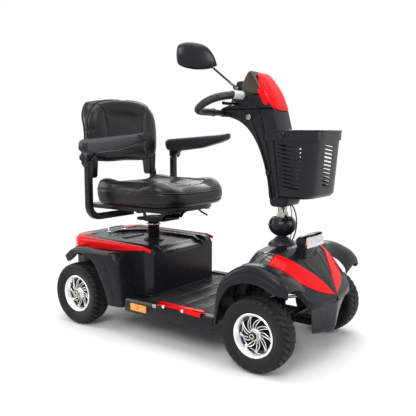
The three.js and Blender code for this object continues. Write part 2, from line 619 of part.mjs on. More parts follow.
// A point on the console face: height up the face, sideways, and out of the face towards the rider.
const onFace = (up, y, out) => [
  HEAD_REAR[0][0] + FACE_UP[0] * up - FACE_UP[1] * out, y,
  HEAD_REAR[0][1] + FACE_UP[1] * up + FACE_UP[0] * out,
];
const DIAL = { up: 78, y: 0, r: 15, spindle: 4 };
const KEY = { up: 78, y: -34, r: 5 };
const HORN = { up: 78, y: 34, r: 8 };
const THROTTLE = { x: 186, z: 905, r: 6, half: 122 };
const PIVOT_R = 6;
function tillerHead() {
  const outer = plateXZ(HEAD_OUTLINE, -HEAD_HALF_W, HEAD_HALF_W);
  const bar = rod([GRIP_X, -80, GRIP_Z], [GRIP_X, 80, GRIP_Z], BAR_R + GAP + 0.2, 14);
  const slot = block([150, 212], [-80, 80], [THROTTLE.z - 8, THROTTLE.z + 8]);
  const pivot = rod([THROTTLE.x, 0, THROTTLE.z - 16], [THROTTLE.x, 0, THROTTLE.z], PIVOT_R + GAP);
  const holes = [
    rod(onFace(DIAL.up, DIAL.y, 5), onFace(DIAL.up, DIAL.y, -14), DIAL.spindle + GAP, 10),
    rod(onFace(KEY.up, KEY.y, 5), onFace(KEY.up, KEY.y, -16), KEY.r + GAP, 10),
    rod(onFace(HORN.up, HORN.y, 5), onFace(HORN.up, HORN.y, -14), HORN.r + GAP, 12),
  ];
  return cut(outer, bar, slot, pivot, ...holes);
}
piece("tiller_head", tillerHead(), BRONZE);
const SHIELD = [[367 - 1.2, 876], [363, SPLIT_Z], [340, 939], [282, 1011.5]];
piece("tiller_shield", plateXZ(strip(SHIELD, -6, -GAP), -50, 50), RED);

// Handlebar: a flat loop from the head out round the grips to the crossbar.
function handleLoop() {
  const half = [
    [GRIP_X, -4, GRIP_Z], [GRIP_X, 40, GRIP_Z], [GRIP_X, 82, GRIP_Z], [225, 125, 930], [214, 172, 924],
    [196, 208, 912], [165, 222, 892], [138, 208, 875], [CROSSBAR_X, 165, CROSSBAR_Z],
    [CROSSBAR_X, 80, CROSSBAR_Z], [CROSSBAR_X, -4, CROSSBAR_Z],
  ];
  return bothSides(bentRod(half, BAR_R, 10, 30));
}
piece("handle_loop", handleLoop(), RUBBER);
function throttleLever() {
  const { x, z, r, half } = THROTTLE;
  return join(rod([x, -half, z], [x, half, z], r, 8), rod([x, 0, z - 15], [x, 0, z], PIVOT_R));
}
piece("throttle_lever", throttleLever(), BLACK);
piece(
  "speed_dial",
  join(
    rod(onFace(DIAL.up, DIAL.y, 0.5), onFace(DIAL.up, DIAL.y, 13), DIAL.r, 16, DIAL.r - 2),
    rod(onFace(DIAL.up, DIAL.y, -13), onFace(DIAL.up, DIAL.y, 3), DIAL.spindle, 10),
  ),
  BLACK,
);
piece(
  "ignition_key",
  join(
    rod(onFace(KEY.up, KEY.y, -15), onFace(KEY.up, KEY.y, 6), KEY.r, 10),
    rod(onFace(KEY.up - 9, KEY.y, 12), onFace(KEY.up + 9, KEY.y, 12), 7, 6),
  ),
  CHROME,
);
piece("horn_button", rod(onFace(HORN.up, HORN.y, -10), onFace(HORN.up, HORN.y, 5), HORN.r, 12), RED);

// Mirror on the right of the head; its plane is turned outwards.
const MIRROR = { at: [160, -240, 1058], half: 75, high: 46, deep: 26, turn: 30 };
// A point given in the mirror's own frame: forward, along its width, up.
function onMirror([forward, along, up]) {
  const a = (-MIRROR.turn * Math.PI) / 180;
  return [
    MIRROR.at[0] + forward * Math.cos(a) - along * Math.sin(a),
    MIRROR.at[1] + forward * Math.sin(a) + along * Math.cos(a),
    MIRROR.at[2] + up,
  ];
}
const MIRROR_BOSS = [[9, 60, -38], [9, 30, -18]]; // from the ball of the stem into the shell
const mirrorPost = onMirror(MIRROR_BOSS[0]);
const towards = vec(onMirror(MIRROR_BOSS[1])).sub(vec(mirrorPost)).normalize();
const alongBoss = (d) => vec(mirrorPost).addScaledVector(towards, d).toArray();
piece(
  "mirror_arm",
  join(
    rod([208, -HEAD_HALF_W - GAP, 955], [208, -HEAD_HALF_W - 14, 955], 9, 10),
    bentRod([[208, -66, 955], [208, -84, 968], [206, -120, 986], [203, -160, 1002], alongBoss(-9)], 4, 8, 12),
    rod(alongBoss(-14), alongBoss(0), 6, 10),
  ),
  CHROME,
);
function mirrorTurned(s) {
  return s.rotate([0, 0, -MIRROR.turn]).translate(MIRROR.at);
}
function mirrorShell() {
  const dome = new THREE.SphereGeometry(1, 18, 12).scale(MIRROR.deep, MIRROR.half, MIRROR.high);
  const front = block([0, 100], [-100, 100], [-100, 100]);
  const back = solid(dome).intersect(front);
  const dish = solid(dome).scale([0.2, 0.9, 0.9]);
  return join(mirrorTurned(cut(back, dish)), rod(alongBoss(GAP), onMirror(MIRROR_BOSS[1]), 6, 10));
}
piece("mirror_shell", mirrorShell(), BLACK);
function mirrorGlass() {
  const outline = [];
  for (let i = 0; i < 20; i++) {
    const a = (2 * Math.PI * i) / 20;
    outline.push([(MIRROR.half - 2) * Math.cos(a), (MIRROR.high - 2) * Math.sin(a)]);
  }
  return mirrorTurned(plateYZ(outline, -2 - GAP, -GAP));
}
piece("mirror_glass", mirrorGlass(), GLASS);

// Basket, hung by a tongue in the bracket on the tiller.
const POCKET = { x: 407, half: 22, z: 720 };
const BASKET_RING = { top: [[0, 160], [112, 150], [150, 0]], bottom: [[14, 126], [84, 118], [112, 0]] };
function basketSolid(grow, low, high) {
  const ring = (points, z) => {
    const half = points.map(([x, y], i) => [
      BASKET_REAR_X + x + (i === 0 ? -grow : grow), y === 0 ? 0 : y + grow, z,
    ]);
    return [...half, [half[1][0], -half[1][1], z], [half[0][0], -half[0][1], z]];
  };
  return loft([ring(BASKET_RING.bottom, low), ring(BASKET_RING.top, high)]);
}
function basket() {
  const bin = cut(
    basketSolid(0, BASKET_BOTTOM, BASKET_TOP),
    basketSolid(-BASKET_WALL, BASKET_BOTTOM + BASKET_WALL, BASKET_TOP + 9),
  );
  const tongue = block(
    [POCKET.x + GAP, BASKET_REAR_X + 4], [-POCKET.half + GAP, POCKET.half - GAP],
    [POCKET.z + GAP, POCKET.z + 50],
  );
  return join(bin, tongue);
}
piece("basket", basket(), BLACK);
function basketBracket() {
  const z = [690, 700, 740, 770, 785];
  const near = z.map((h) => [frontX(h) + GAP, h]).reverse();
  const body = plateXZ([...near, [BASKET_REAR_X - GAP, z[0]], [BASKET_REAR_X - GAP, z[4]]], -32, 32);
  return cut(body, block([POCKET.x, 440], [-POCKET.half, POCKET.half], [POCKET.z, 800]));
}
piece("basket_bracket", basketBracket(), STEEL);
piece(
  "tiller_lead",
  bentRod([[410.4, 0, 536], [422, 0, 519], [432, 0, 474], [426, 0, 430], [414, 0, 400.4]], 2.5, 8, 20),
  BLACK,
);

// ---- Seat ----
function seatPost() {
  const tube = rod([POST_X, 0, 160], [POST_X, 0, POST_TOP - 8], POST_R, 20);
  const flange = rod([POST_X, 0, POST_TOP - 8], [POST_X, 0, POST_TOP], 40, 20);
  return cut(join(tube, flange), rod([POST_X, 0, POST_TOP - 60], [POST_X, 0, POST_TOP + 5], 15 + GAP, 16));
}
piece("seat_post", seatPost(), STEEL);
const RISER_X = [POST_X - 18, POST_X + 107];
function swivelPlate() {
  const plate = block([POST_X - 60, POST_X + 107], [-70, 70], [POST_TOP + GAP, POST_TOP + 10]);
  const pin = rod([POST_X, 0, POST_TOP - 45], [POST_X, 0, POST_TOP + 5], 15, 16);
  const riser = block(RISER_X, [-112, 112], [POST_TOP + 8, RAIL_TOP_Z - 10]);
  const window = block([RISER_X[0] + 12, RISER_X[1] - 12], [-75, 75], [POST_TOP + 12, RAIL_TOP_Z]);
  const rails = bothSides(
    block([-423, -87], [SEAT_RAIL_Y - 12, SEAT_RAIL_Y + 12], [RAIL_TOP_Z - 12, RAIL_TOP_Z]),
  );
  return join(plate, pin, cut(riser, window), rails);
}
piece("swivel_base", swivelPlate(), STEEL);
const RECEIVER = { x: [ARM_X - 17, ARM_X + 17], z: [438, 468], wall: 2.7 };
function seatPan() {
  const pan = block([-472, -20], [-180, 180], [PAN_Z, PAN_Z + PAN_T]);
  const channels = bothSides(
    block([-415, -70], [SEAT_RAIL_Y - 14, SEAT_RAIL_Y + 14], [RAIL_TOP_Z + GAP, PAN_Z + 1]),
  );
  const receiver = cut(
    block(RECEIVER.x, [-205, 205], RECEIVER.z),
    block(
      [RECEIVER.x[0] + RECEIVER.wall, RECEIVER.x[1] - RECEIVER.wall], [-210, 210],
      [RECEIVER.z[0] + RECEIVER.wall, RECEIVER.z[1] - RECEIVER.wall],
    ),
  );
  const hangers = bothSides(block(RECEIVER.x, [122, 136], [RECEIVER.z[1] - 1, PAN_Z + 1]));
  const knob = bothSides(rod([RECEIVER.x[1] - 1, 192, 453], [RECEIVER.x[1] + 26, 192, 453], 11, 10));
  const ears = bothSides(block([-472, -438], [196, 200], [PAN_Z, BACK_HINGE.z + 14]));
  const wings = bothSides(block([-472, -438], [178, 200], [PAN_Z, PAN_Z + PAN_T]));
  const pins = bothSides(
    rod([BACK_HINGE.x, 181, BACK_HINGE.z], [BACK_HINGE.x, 205, BACK_HINGE.z], 6),
  );
  return join(pan, channels, receiver, hangers, knob, ears, wings, pins);
}
piece("seat_pan", seatPan(), STEEL);

// A rectangle with rounded corners: centre, half sizes, corner radii of the low and high ends of v.
function rounded(u0, v0, hu, hv, rLow, rHigh, steps = 4) {
  const points = [];
  const corners = [[1, -1, rLow, -90], [1, 1, rHigh, 0], [-1, 1, rHigh, 90], [-1, -1, rLow, 180]];
  for (const [su, sv, r, start] of corners) {
    for (let i = 0; i <= steps; i++) {
      const a = ((start + (90 * i) / steps) * Math.PI) / 180;
      points.push([u0 + su * (hu - r) + r * Math.cos(a), v0 + sv * (hv - r) + r * Math.sin(a)]);
    }
  }
  return points;
}
function cushion() {
  const outline = rounded(
    (SEAT_REAR_X + SEAT_FRONT_X) / 2, 0, (SEAT_FRONT_X - SEAT_REAR_X) / 2, SEAT_HALF_W, 70, 70,
  );
  return plateXY(outline, PAN_Z + PAN_T + GAP, CUSHION_TOP);
}
piece("seat_cushion", cushion(), VINYL);
function backPad() {
  const middle = (BACK_BOTTOM + BACK_TOP) / 2;
  const outline = rounded(0, middle, BACK_HALF_W, (BACK_TOP - BACK_BOTTOM) / 2, 30, 105);
  const lean = (z) => -0.045 * (z - BACK_BOTTOM);
  const ring = (x) => outline.map(([y, z]) => [x + lean(z), y, z]);
  return loft([ring(-480), ring(-412)]);
}
piece("back_pad", backPad(), VINYL);
function backFrame() {
  const { x, z } = BACK_HINGE;
  const leg = [
    [x - 13, z - 16], [x + 14, z - 16], [x + 14, z + 14], [x - 24, z + 24], [-494, BACK_BOTTOM + 0.5],
    [-494, 770], [-504, 770], [-504, 668], [x - 26, z + 4],
  ];
  const legs = bothSides(plateXZ(leg, 184, 196 - GAP));
  const bridge = block([-504, -485], [-190, 190], [700, 768]);
  const bore = rod([x, -300, z], [x, 300, z], 6 + GAP);
  return cut(join(legs, bridge), bore);
}
piece("back_frame", backFrame(), STEEL);
function slideLever() {
  const y = SEAT_RAIL_Y + 14 + 4 + GAP;
  return bentRod([[-150, y, 487], [-128, y, 484], [-100, y, 462], [-62, y, 446]], 4, 8, 10);
}
piece("slide_lever", slideLever(), BLACK);

const ARM_PROFILE = [
  [-41, 797], [-415, 769], [-415, 727], [-402, 716], [-330, 716], [-200, 732], [-90, 760], [-45, 781],
];
function armrest() {
  const pad = plateXZ(ARM_PROFILE, ARM_Y - ARM_HALF_W, ARM_Y + ARM_HALF_W);
  const side = ARM_TUBE / 2;
  const cheek = (y) => block([ARM_X - 17, ARM_X + 34], y, [ARM_PIVOT_Z - 14, 720]);
  const cheeks = join(
    cheek([ARM_Y - side - 5, ARM_Y - side - GAP]), cheek([ARM_Y + side + GAP, ARM_Y + side + 5]),
  );
  const bore = rod([ARM_X, 0, ARM_PIVOT_Z], [ARM_X, 400, ARM_PIVOT_Z], 6 + GAP);
  return cut(join(pad, cheeks), bore);
}
function armBracket() {
  const side = ARM_TUBE / 2;
  const x = [ARM_X - side, ARM_X + side];
  const barZ = [RECEIVER.z[0] + 3, RECEIVER.z[1] - 3];
  const upright = block(x, [ARM_Y - side, ARM_Y + side], [barZ[0], ARM_PIVOT_Z + 4]);
  const bar = block(x, [20, ARM_Y + side - 1], barZ);
  const pin = rod([ARM_X, ARM_Y - side - 8, ARM_PIVOT_Z], [ARM_X, ARM_Y + side + 7, ARM_PIVOT_Z], 6);
  const knob = rod([ARM_X, ARM_Y + side + 5.3, ARM_PIVOT_Z], [ARM_X, ARM_Y + side + 18, ARM_PIVOT_Z], 14, 12);
  return join(upright, bar, pin, knob);
}
const leftArm = { rest: armrest(), bracket: armBracket() };
for (const { name, s } of SIDES) {
  const side = (one) => (s > 0 ? one : mirrorY(one));
  piece("armrest_" + name, side(leftArm.rest), BLACK);
  piece("armrest_bracket_" + name, side(leftArm.bracket), STEEL);
}

export default scooter;
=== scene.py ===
"""The looks of a four-wheel mobility scooter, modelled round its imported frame. Metres, +X forward, +Z up."""

import math

import bpy
from mathutils import Matrix, Vector
from mathutils.kdtree import KDTree


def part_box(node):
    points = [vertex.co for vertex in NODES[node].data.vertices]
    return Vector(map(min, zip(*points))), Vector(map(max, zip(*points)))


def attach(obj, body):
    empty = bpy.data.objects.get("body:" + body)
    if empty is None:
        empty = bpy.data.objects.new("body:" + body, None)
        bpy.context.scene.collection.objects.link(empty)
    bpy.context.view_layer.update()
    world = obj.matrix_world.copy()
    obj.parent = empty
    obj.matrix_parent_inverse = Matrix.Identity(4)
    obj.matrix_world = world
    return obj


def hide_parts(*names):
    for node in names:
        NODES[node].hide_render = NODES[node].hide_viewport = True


bl_info = {
    "name": "Mobility Scooter",
    "version": (1, 0, 0),
    "blender": (4, 5, 0),
    "location": "View3D > Sidebar > Scooter",
    "description": "Builds the covers, wheels, tiller, seat and finishes of a mobility scooter",
    "category": "Add Mesh",
}

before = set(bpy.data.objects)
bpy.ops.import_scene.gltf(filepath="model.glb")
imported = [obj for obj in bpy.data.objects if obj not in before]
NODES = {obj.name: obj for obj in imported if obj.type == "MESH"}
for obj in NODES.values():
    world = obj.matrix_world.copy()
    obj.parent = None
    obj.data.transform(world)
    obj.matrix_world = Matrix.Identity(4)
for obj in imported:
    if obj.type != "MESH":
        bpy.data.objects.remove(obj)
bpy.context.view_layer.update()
SIDES = (("right", -1), ("left", 1))


def span(node):
    """The lowest and highest corner of a frame node."""
    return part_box(node)


def middle(node):
    low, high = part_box(node)
    return (low + high) / 2


# ---- What a user would change ----
class ScooterColours(bpy.types.PropertyGroup):
    """Base colours of the finishes"""

    def colour(name, text, value):
        return bpy.props.FloatVectorProperty(
            name=name, description=text, subtype="COLOR", size=3, min=0, max=1, default=value
        )

    cover: colour("Covers", "Moulded charcoal covers", (0.0085, 0.0095, 0.0115))
    trim: colour("Trim", "Glossy red trim and nose panels", (0.72, 0.004, 0.008))
    head: colour("Control head", "Bronze shell of the control head", (0.040, 0.031, 0.021))
    vinyl: colour("Vinyl", "Seat and backrest cover", (0.0060, 0.0052, 0.0048))
    rubber: colour("Rubber", "Tyres, mat and boot", (0.0085, 0.0090, 0.0100))
    steel: colour("Painted steel", "Powder-coated frame parts", (0.0050, 0.0053, 0.0060))
    reflector: colour("Reflector", "Amber side reflectors and lamp end", (0.90, 0.26, 0.01))


class ScooterSizes(bpy.types.PropertyGroup):
    """Sizes of the details that the frame doesn't set"""

    def length(name, text, value):
        return bpy.props.FloatProperty(
            name=name, description=text, default=value, min=0, unit="LENGTH", subtype="DISTANCE"
        )

    shell: length("Cover wall", "Wall thickness of the moulded covers", 0.004)
    tread: length("Tread depth", "Depth of the grooves in the tyres", 0.0045)
    piping: length("Piping", "Radius of the piping round the seat pads", 0.0035)
    seam: length("Seam width", "Half width of a sewn seam", 0.0035)
    spokes: bpy.props.IntProperty(name="Spokes", description="Twin spokes in a rim", default=9, min=3, max=15)
    tread_blocks: bpy.props.IntProperty(
        name="Tread blocks", description="Shoulder blocks round a tyre", default=34, min=8, max=80
    )


def sizes():
    return bpy.context.scene.scooter_sizes


def colours():
    return bpy.context.scene.scooter_colours


# ---- Modelling helpers ----
def deselect():
    if bpy.context.mode != "OBJECT":
        bpy.ops.object.mode_set(mode="OBJECT")
    bpy.ops.object.select_all(action="DESELECT")


def only(obj):
    deselect()
    obj.select_set(True)
    bpy.context.view_layer.objects.active = obj
    return obj


def added(name):
    """The object that the last operator added, under its own name."""
    obj = bpy.context.object
    obj.name = name
    obj.data.name = name
    return obj


def applied(obj, kind, **settings):
    """Adds a modifier and applies it."""
    only(obj)
    bpy.ops.object.modifier_add(type=kind)
    modifier = obj.modifiers[-1]
    for key, value in settings.items():
        setattr(modifier, key, value)
    bpy.ops.object.modifier_apply(modifier=modifier.name)
    return obj


def edited(obj, *steps):
    """Runs edit-mode operators on the whole mesh."""
    only(obj)
    bpy.ops.object.mode_set(mode="EDIT")
    for step in steps:
        bpy.ops.mesh.select_all(action="SELECT")
        step()
    bpy.ops.object.mode_set(mode="OBJECT")
    return obj


def outwards():
    bpy.ops.mesh.normals_make_consistent(inside=False)


def merge(distance=1e-5):
    bpy.ops.mesh.remove_doubles(threshold=distance)


def eased(obj, width, segments=2, angle=60, **more):
    """Rounds the edges that are sharper than an angle."""
    return applied(obj, "BEVEL", width=width, segments=segments, limit_method="ANGLE",
                   angle_limit=math.radians(angle), **more)


def smooth(obj, angle=35):
    only(obj)
    bpy.ops.object.shade_smooth_by_angle(angle=math.radians(angle))
    return obj


def sheet(name, columns, rows, shape):
    """A grid laid where shape(u, v) says, with u and v from 0 to 1."""
    deselect()
    bpy.ops.mesh.primitive_grid_add(x_subdivisions=columns, y_subdivisions=rows, size=2)
    obj = added(name)
    for v in obj.data.vertices:
        v.co = shape((v.co.x + 1) / 2, (v.co.y + 1) / 2)
    return obj


def thick(obj, wall, offset=-1.0):
    """Gives a sheet its wall; offset -1 grows it inwards from the sheet."""
    edited(obj, merge, outwards)
    return applied(obj, "SOLIDIFY", thickness=wall, offset=offset, use_even_offset=False)


def ring(name, points, fill="NGON"):
    """A circle primitive whose corners are moved to the points."""
    deselect()
    bpy.ops.mesh.primitive_circle_add(vertices=len(points), fill_type=fill)
    obj = added(name)
    for v, p in zip(obj.data.vertices, points):
        v.co = p
    return obj


PLANES = {"xz": lambda a, b, c: (a, c, b), "yz": lambda a, b, c: (c, a, b), "xy": lambda a, b, c: (a, b, c)}


def plate(name, outline, plane, low, high, bevel=0.0, segments=3):
    """A flat outline extruded square to its plane, with rounded edges."""
    place = PLANES[plane]
    obj = ring(name, [place(a, b, low) for a, b in outline])
    shift = Vector(place(0, 0, high - low))
    edited(obj, lambda: bpy.ops.mesh.extrude_region_move(TRANSFORM_OT_translate={"value": shift}))
    edited(obj, outwards)
    if bevel:
        eased(obj, bevel, segments, angle=28)
    return obj


def turned(name, profile, steps=64, axis=(0, 0, 1), at=(0, 0, 0)):
    """A closed profile of (radius, height) turned about an axis."""
    obj = ring(name, [(r, 0, h) for r, h in profile], fill="NOTHING")
    edited(
        obj,
        lambda: bpy.ops.mesh.spin(steps=steps, angle=math.tau, center=(0, 0, 0), axis=(0, 0, 1)),
        merge,
        outwards,
    )
    turn = Vector((0, 0, 1)).rotation_difference(Vector(axis)).to_matrix().to_4x4()
    obj.data.transform(Matrix.Translation(Vector(at)) @ turn)
    return obj


def tube(name, points, radius, closed=False, facets=6, fineness=6, taper=None):
    """A round bar along a smooth curve through the points."""
    deselect()
    bpy.ops.curve.primitive_bezier_curve_add()
    obj = added(name)
    spline = obj.data.splines[0]
    spline.bezier_points.add(len(points) - 2)
    for i, (knot, p) in enumerate(zip(spline.bezier_points, points)):
        knot.handle_left_type = knot.handle_right_type = "AUTO"
        knot.co = p
        knot.radius = taper[i] if taper else 1
    spline.use_cyclic_u = closed
    obj.data.bevel_depth = radius
    obj.data.bevel_resolution = facets
    obj.data.resolution_u = fineness
    obj.data.use_fill_caps = not closed
    bpy.ops.object.convert(target="MESH")
    obj = bpy.context.object
    return smooth(edited(obj, merge, outwards), 50)


def joined(name, *objs):
    """Several meshes as one piece."""
    deselect()
    for obj in objs:
        obj.select_set(True)
    bpy.context.view_layer.objects.active = objs[0]
    bpy.ops.object.join()
    return added(name)


def copied(obj, name, matrix=None):
    """A copy with its own mesh, moved by the matrix and turned right side out."""
    only(obj)
    bpy.ops.object.duplicate()
    twin = added(name)
    if matrix is not None:
        twin.data.transform(matrix)
        if matrix.determinant() < 0:
            twin.data.flip_normals()
    return twin


MIRROR_Y = Matrix.Scale(-1, 4, (0, 1, 0))


def cut(obj, cutter):
    """Takes the cutter out of the piece and removes the cutter."""
    applied(obj, "BOOLEAN", operation="DIFFERENCE", solver="EXACT", object=cutter)
    bpy.data.objects.remove(cutter)
    return obj


def give(obj, body, look, slot=None, node=None):
    """Rides a finished piece on its body, with its finish and the frame node that it stands for."""
    if not obj.data.materials:
        obj.data.materials.append(finish(look))
    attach(obj, body)
    slot or look
    if node:
        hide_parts(node)
    return obj


def machined(node, body, look, slot, bevel=0.0015, name=None):
    """A frame node with its triangles merged and its edges rounded."""
    deselect()
    source = NODES[node]
    obj = bpy.data.objects.new(name or node + "_finished", source.data.copy())
    bpy.context.scene.collection.objects.link(obj)
    obj.data.materials.clear()
    edited(obj, merge, lambda: bpy.ops.mesh.dissolve_limited(angle_limit=math.radians(3)))
    eased(obj, bevel, angle=40, use_clamp_overlap=True)
    return give(smooth(obj, 40), body, look, slot, node)


def bolt(name, at, normal, radius=0.005, height=0.003, sides=6):
    """A cap screw: a bevelled head with a hexagon socket."""
    head = turned(
        name,
        [(0.0, 0), (radius, 0), (radius, height * 0.7), (radius * 0.85, height), (radius * 0.5, height),
         (radius * 0.45, height * 0.45), (0.0, height * 0.45)],
        steps=4 * sides, axis=normal, at=at,
    )
    return smooth(head, 30)


def rectangle(x0, y0, x1, y1):
    """The corners of a rectangle, for an outline."""
    return [(x0, y0), (x1, y0), (x1, y1), (x0, y1)]


def along(points, t):
    """The point at t, from 0 to 1, on a smooth curve through the points."""
    knots = [Vector(p) for p in points]
    t = min(max(t, 0), 1) * (len(knots) - 1)
    k = min(int(t), len(knots) - 2)
    f = t - k
    a, b = knots[max(k - 1, 0)], knots[k]
    c, d = knots[k + 1], knots[min(k + 2, len(knots) - 1)]
    return 0.5 * (2 * b + (c - a) * f + (2 * a - 5 * b + 4 * c - d) * f * f + (3 * b - a - 3 * c + d) * f ** 3)


def through(points, count):
    """Evenly placed points on the same curve, of any dimension."""
    return [along(points, i / count) for i in range(count + 1)]


def curve(points, count):
    """The same points as plain tuples, for an outline."""
    return [tuple(p) for p in through(points, count)]


def at_x(table, x):
    """Reads a table of (x, values...) at x, straight between its rows."""
    rows = sorted(table)
    if x <= rows[0][0]:
        return rows[0][1:]
    for a, b in zip(rows, rows[1:]):
        if x <= b[0]:
            t = (x - a[0]) / (b[0] - a[0])
            return tuple(p + (q - p) * t for p, q in zip(a[1:], b[1:]))
    return rows[-1][1:]


def ease(low, high, value):
    """0 below low, 1 above high, and a smooth step between."""
    t = min(max((value - low) / (high - low), 0), 1)
    return t * t * (3 - 2 * t)


# ---- Shader node groups ----
def group(name, inputs, outputs):
    tree = bpy.data.node_groups.new(name, "ShaderNodeTree")
    for label, kind, value in inputs:
        socket = tree.interface.new_socket(name=label, in_out="INPUT", socket_type=kind)
        socket.default_value = value
    for label, kind in outputs:
        tree.interface.new_socket(name=label, in_out="OUTPUT", socket_type=kind)
    return tree, tree.nodes.new("NodeGroupInput"), tree.nodes.new("NodeGroupOutput")


def node(tree, kind, inputs=None, **settings):
    """A node with its settings, and its inputs by name or number as values or links."""
    made = tree.nodes.new(kind)
    for key, value in settings.items():
        setattr(made, key, value)
    for key, value in (inputs or {}).items():
        if isinstance(value, bpy.types.NodeSocket):
            tree.links.new(value, made.inputs[key])
        else:
            made.inputs[key].default_value = value
    return made


def maths(tree, operation, first, second, **settings):
    """A maths node over two values or links."""
    return node(tree, "ShaderNodeMath", {0: first, 1: second}, operation=operation, **settings)


def looking(tree):
    """1 for the rays of the eye: straight ones, and those that come through glass or off a mirror."""
    rays = node(tree, "ShaderNodeLightPath").outputs
    eye = maths(tree, "MAXIMUM", rays["Is Camera Ray"], rays["Is Transmission Ray"])
    return maths(tree, "MAXIMUM", eye.outputs[0], rays["Is Glossy Ray"])


FLOAT, COLOR = "NodeSocketFloat", "NodeSocketColor"


def mottle_group():
    """Slow changes of colour and gloss over a surface."""
    tree, given, out = group(
        "Mottle",
        [("Color", COLOR, (0.1, 0.1, 0.1, 1)), ("Tint", COLOR, (0.2, 0.2, 0.2, 1)), ("Scale", FLOAT, 8.0),
         ("Amount", FLOAT, 0.3), ("Roughness", FLOAT, 0.4), ("Spread", FLOAT, 0.1)],
        [("Color", COLOR), ("Roughness", FLOAT)],
    )
    place = node(tree, "ShaderNodeTexCoord").outputs["Object"]
    noise = node(tree, "ShaderNodeTexNoise", {"Vector": place, "Scale": given.outputs["Scale"], "Detail": 6.0})
    share = maths(tree, "MULTIPLY", noise.outputs["Fac"], given.outputs["Amount"])
    mix = node(
        tree, "ShaderNodeMix",
        {"Factor": share.outputs[0], 6: given.outputs["Color"], 7: given.outputs["Tint"]}, data_type="RGBA",
    )
    fine = node(tree, "ShaderNodeTexNoise", {"Vector": place, "Scale": 60.0, "Detail": 4.0})
    around = maths(tree, "SUBTRACT", fine.outputs["Fac"], 0.5)
    spread = maths(tree, "MULTIPLY", around.outputs[0], given.outputs["Spread"])
    rough = maths(tree, "ADD", given.outputs["Roughness"], spread.outputs[0])
    tree.links.new(mix.outputs[2], out.inputs["Color"])
    tree.links.new(rough.outputs[0], out.inputs["Roughness"])
    return tree


def worn_edge_group():
    """Lighter colour where a convex edge is rubbed."""
    tree, given, out = group(
        "Worn Edge",
        [("Color", COLOR, (0.1, 0.1, 0.1, 1)), ("Wear", COLOR, (0.3, 0.3, 0.3, 1)), ("Amount", FLOAT, 0.4)],
        [("Color", COLOR), ("Mask", FLOAT)],
    )
    place = node(tree, "ShaderNodeTexCoord").outputs["Object"]
    noise = node(tree, "ShaderNodeTexNoise", {"Vector": place, "Scale": 45.0, "Detail": 5.0})
    pointed = node(tree, "ShaderNodeNewGeometry").outputs["Pointiness"]
    edge = node(tree, "ShaderNodeMapRange", {"Value": pointed, "From Min": 0.53, "From Max": 0.62})
    broken = maths(tree, "MULTIPLY", edge.outputs[0], noise.outputs["Fac"])
    mask = maths(tree, "MULTIPLY", broken.outputs[0], given.outputs["Amount"], use_clamp=True)
    mix = node(
        tree, "ShaderNodeMix",
        {"Factor": mask.outputs[0], 6: given.outputs["Color"], 7: given.outputs["Wear"]}, data_type="RGBA",
    )
    tree.links.new(mix.outputs[2], out.inputs["Color"])
    tree.links.new(mask.outputs[0], out.inputs["Mask"])
    return tree


def dust_group():
    """Pale dust in patches, more of it low down."""
    tree, given, out = group(
        "Settled Dust",
        [("Color", COLOR, (0.1, 0.1, 0.1, 1)), ("Roughness", FLOAT, 0.5), ("Amount", FLOAT, 0.2),
         ("Height", FLOAT, 0.35)],
        [("Color", COLOR), ("Roughness", FLOAT)],
    )
    place = node(tree, "ShaderNodeTexCoord").outputs["Object"]
    height = node(tree, "ShaderNodeSeparateXYZ", {"Vector": place}).outputs["Z"]
    low = node(tree, "ShaderNodeMapRange", {"Value": height, "From Min": 0.0, "From Max": given.outputs["Height"],
                                            "To Min": 1.0, "To Max": 0.0})
    noise = node(tree, "ShaderNodeTexNoise", {"Vector": place, "Scale": 22.0, "Detail": 8.0})
    patchy = node(tree, "ShaderNodeMapRange", {"Value": noise.outputs["Fac"], "From Min": 0.42, "From Max": 0.7})
    both = maths(tree, "MULTIPLY", low.outputs[0], patchy.outputs[0])
    mask = maths(tree, "MULTIPLY", both.outputs[0], given.outputs["Amount"], use_clamp=True)
    mix = node(
        tree, "ShaderNodeMix",
        {"Factor": mask.outputs[0], 6: given.outputs["Color"], 7: (0.23, 0.21, 0.18, 1)}, data_type="RGBA",
    )
    rough = maths(tree, "ADD", given.outputs["Roughness"], mask.outputs[0], use_clamp=True)
    tree.links.new(mix.outputs[2], out.inputs["Color"])
    tree.links.new(rough.outputs[0], out.inputs["Roughness"])
    return tree


def grain_group():
    """Fine moulded or cast grain, as a height."""
    tree, given, out = group(
        "Grain", [("Scale", FLOAT, 900.0), ("Pits", FLOAT, 0.4)], [("Height", FLOAT)]
    )
    place = node(tree, "ShaderNodeTexCoord").outputs["Object"]
    noise = node(tree, "ShaderNodeTexNoise", {"Vector": place, "Scale": given.outputs["Scale"], "Detail": 3.0})
    cells = node(tree, "ShaderNodeTexVoronoi", {"Vector": place, "Scale": given.outputs["Scale"]})
    pits = maths(tree, "MULTIPLY", cells.outputs["Distance"], given.outputs["Pits"])
    height = maths(tree, "ADD", noise.outputs["Fac"], pits.outputs[0])
    tree.links.new(height.outputs[0], out.inputs["Height"])
    return tree


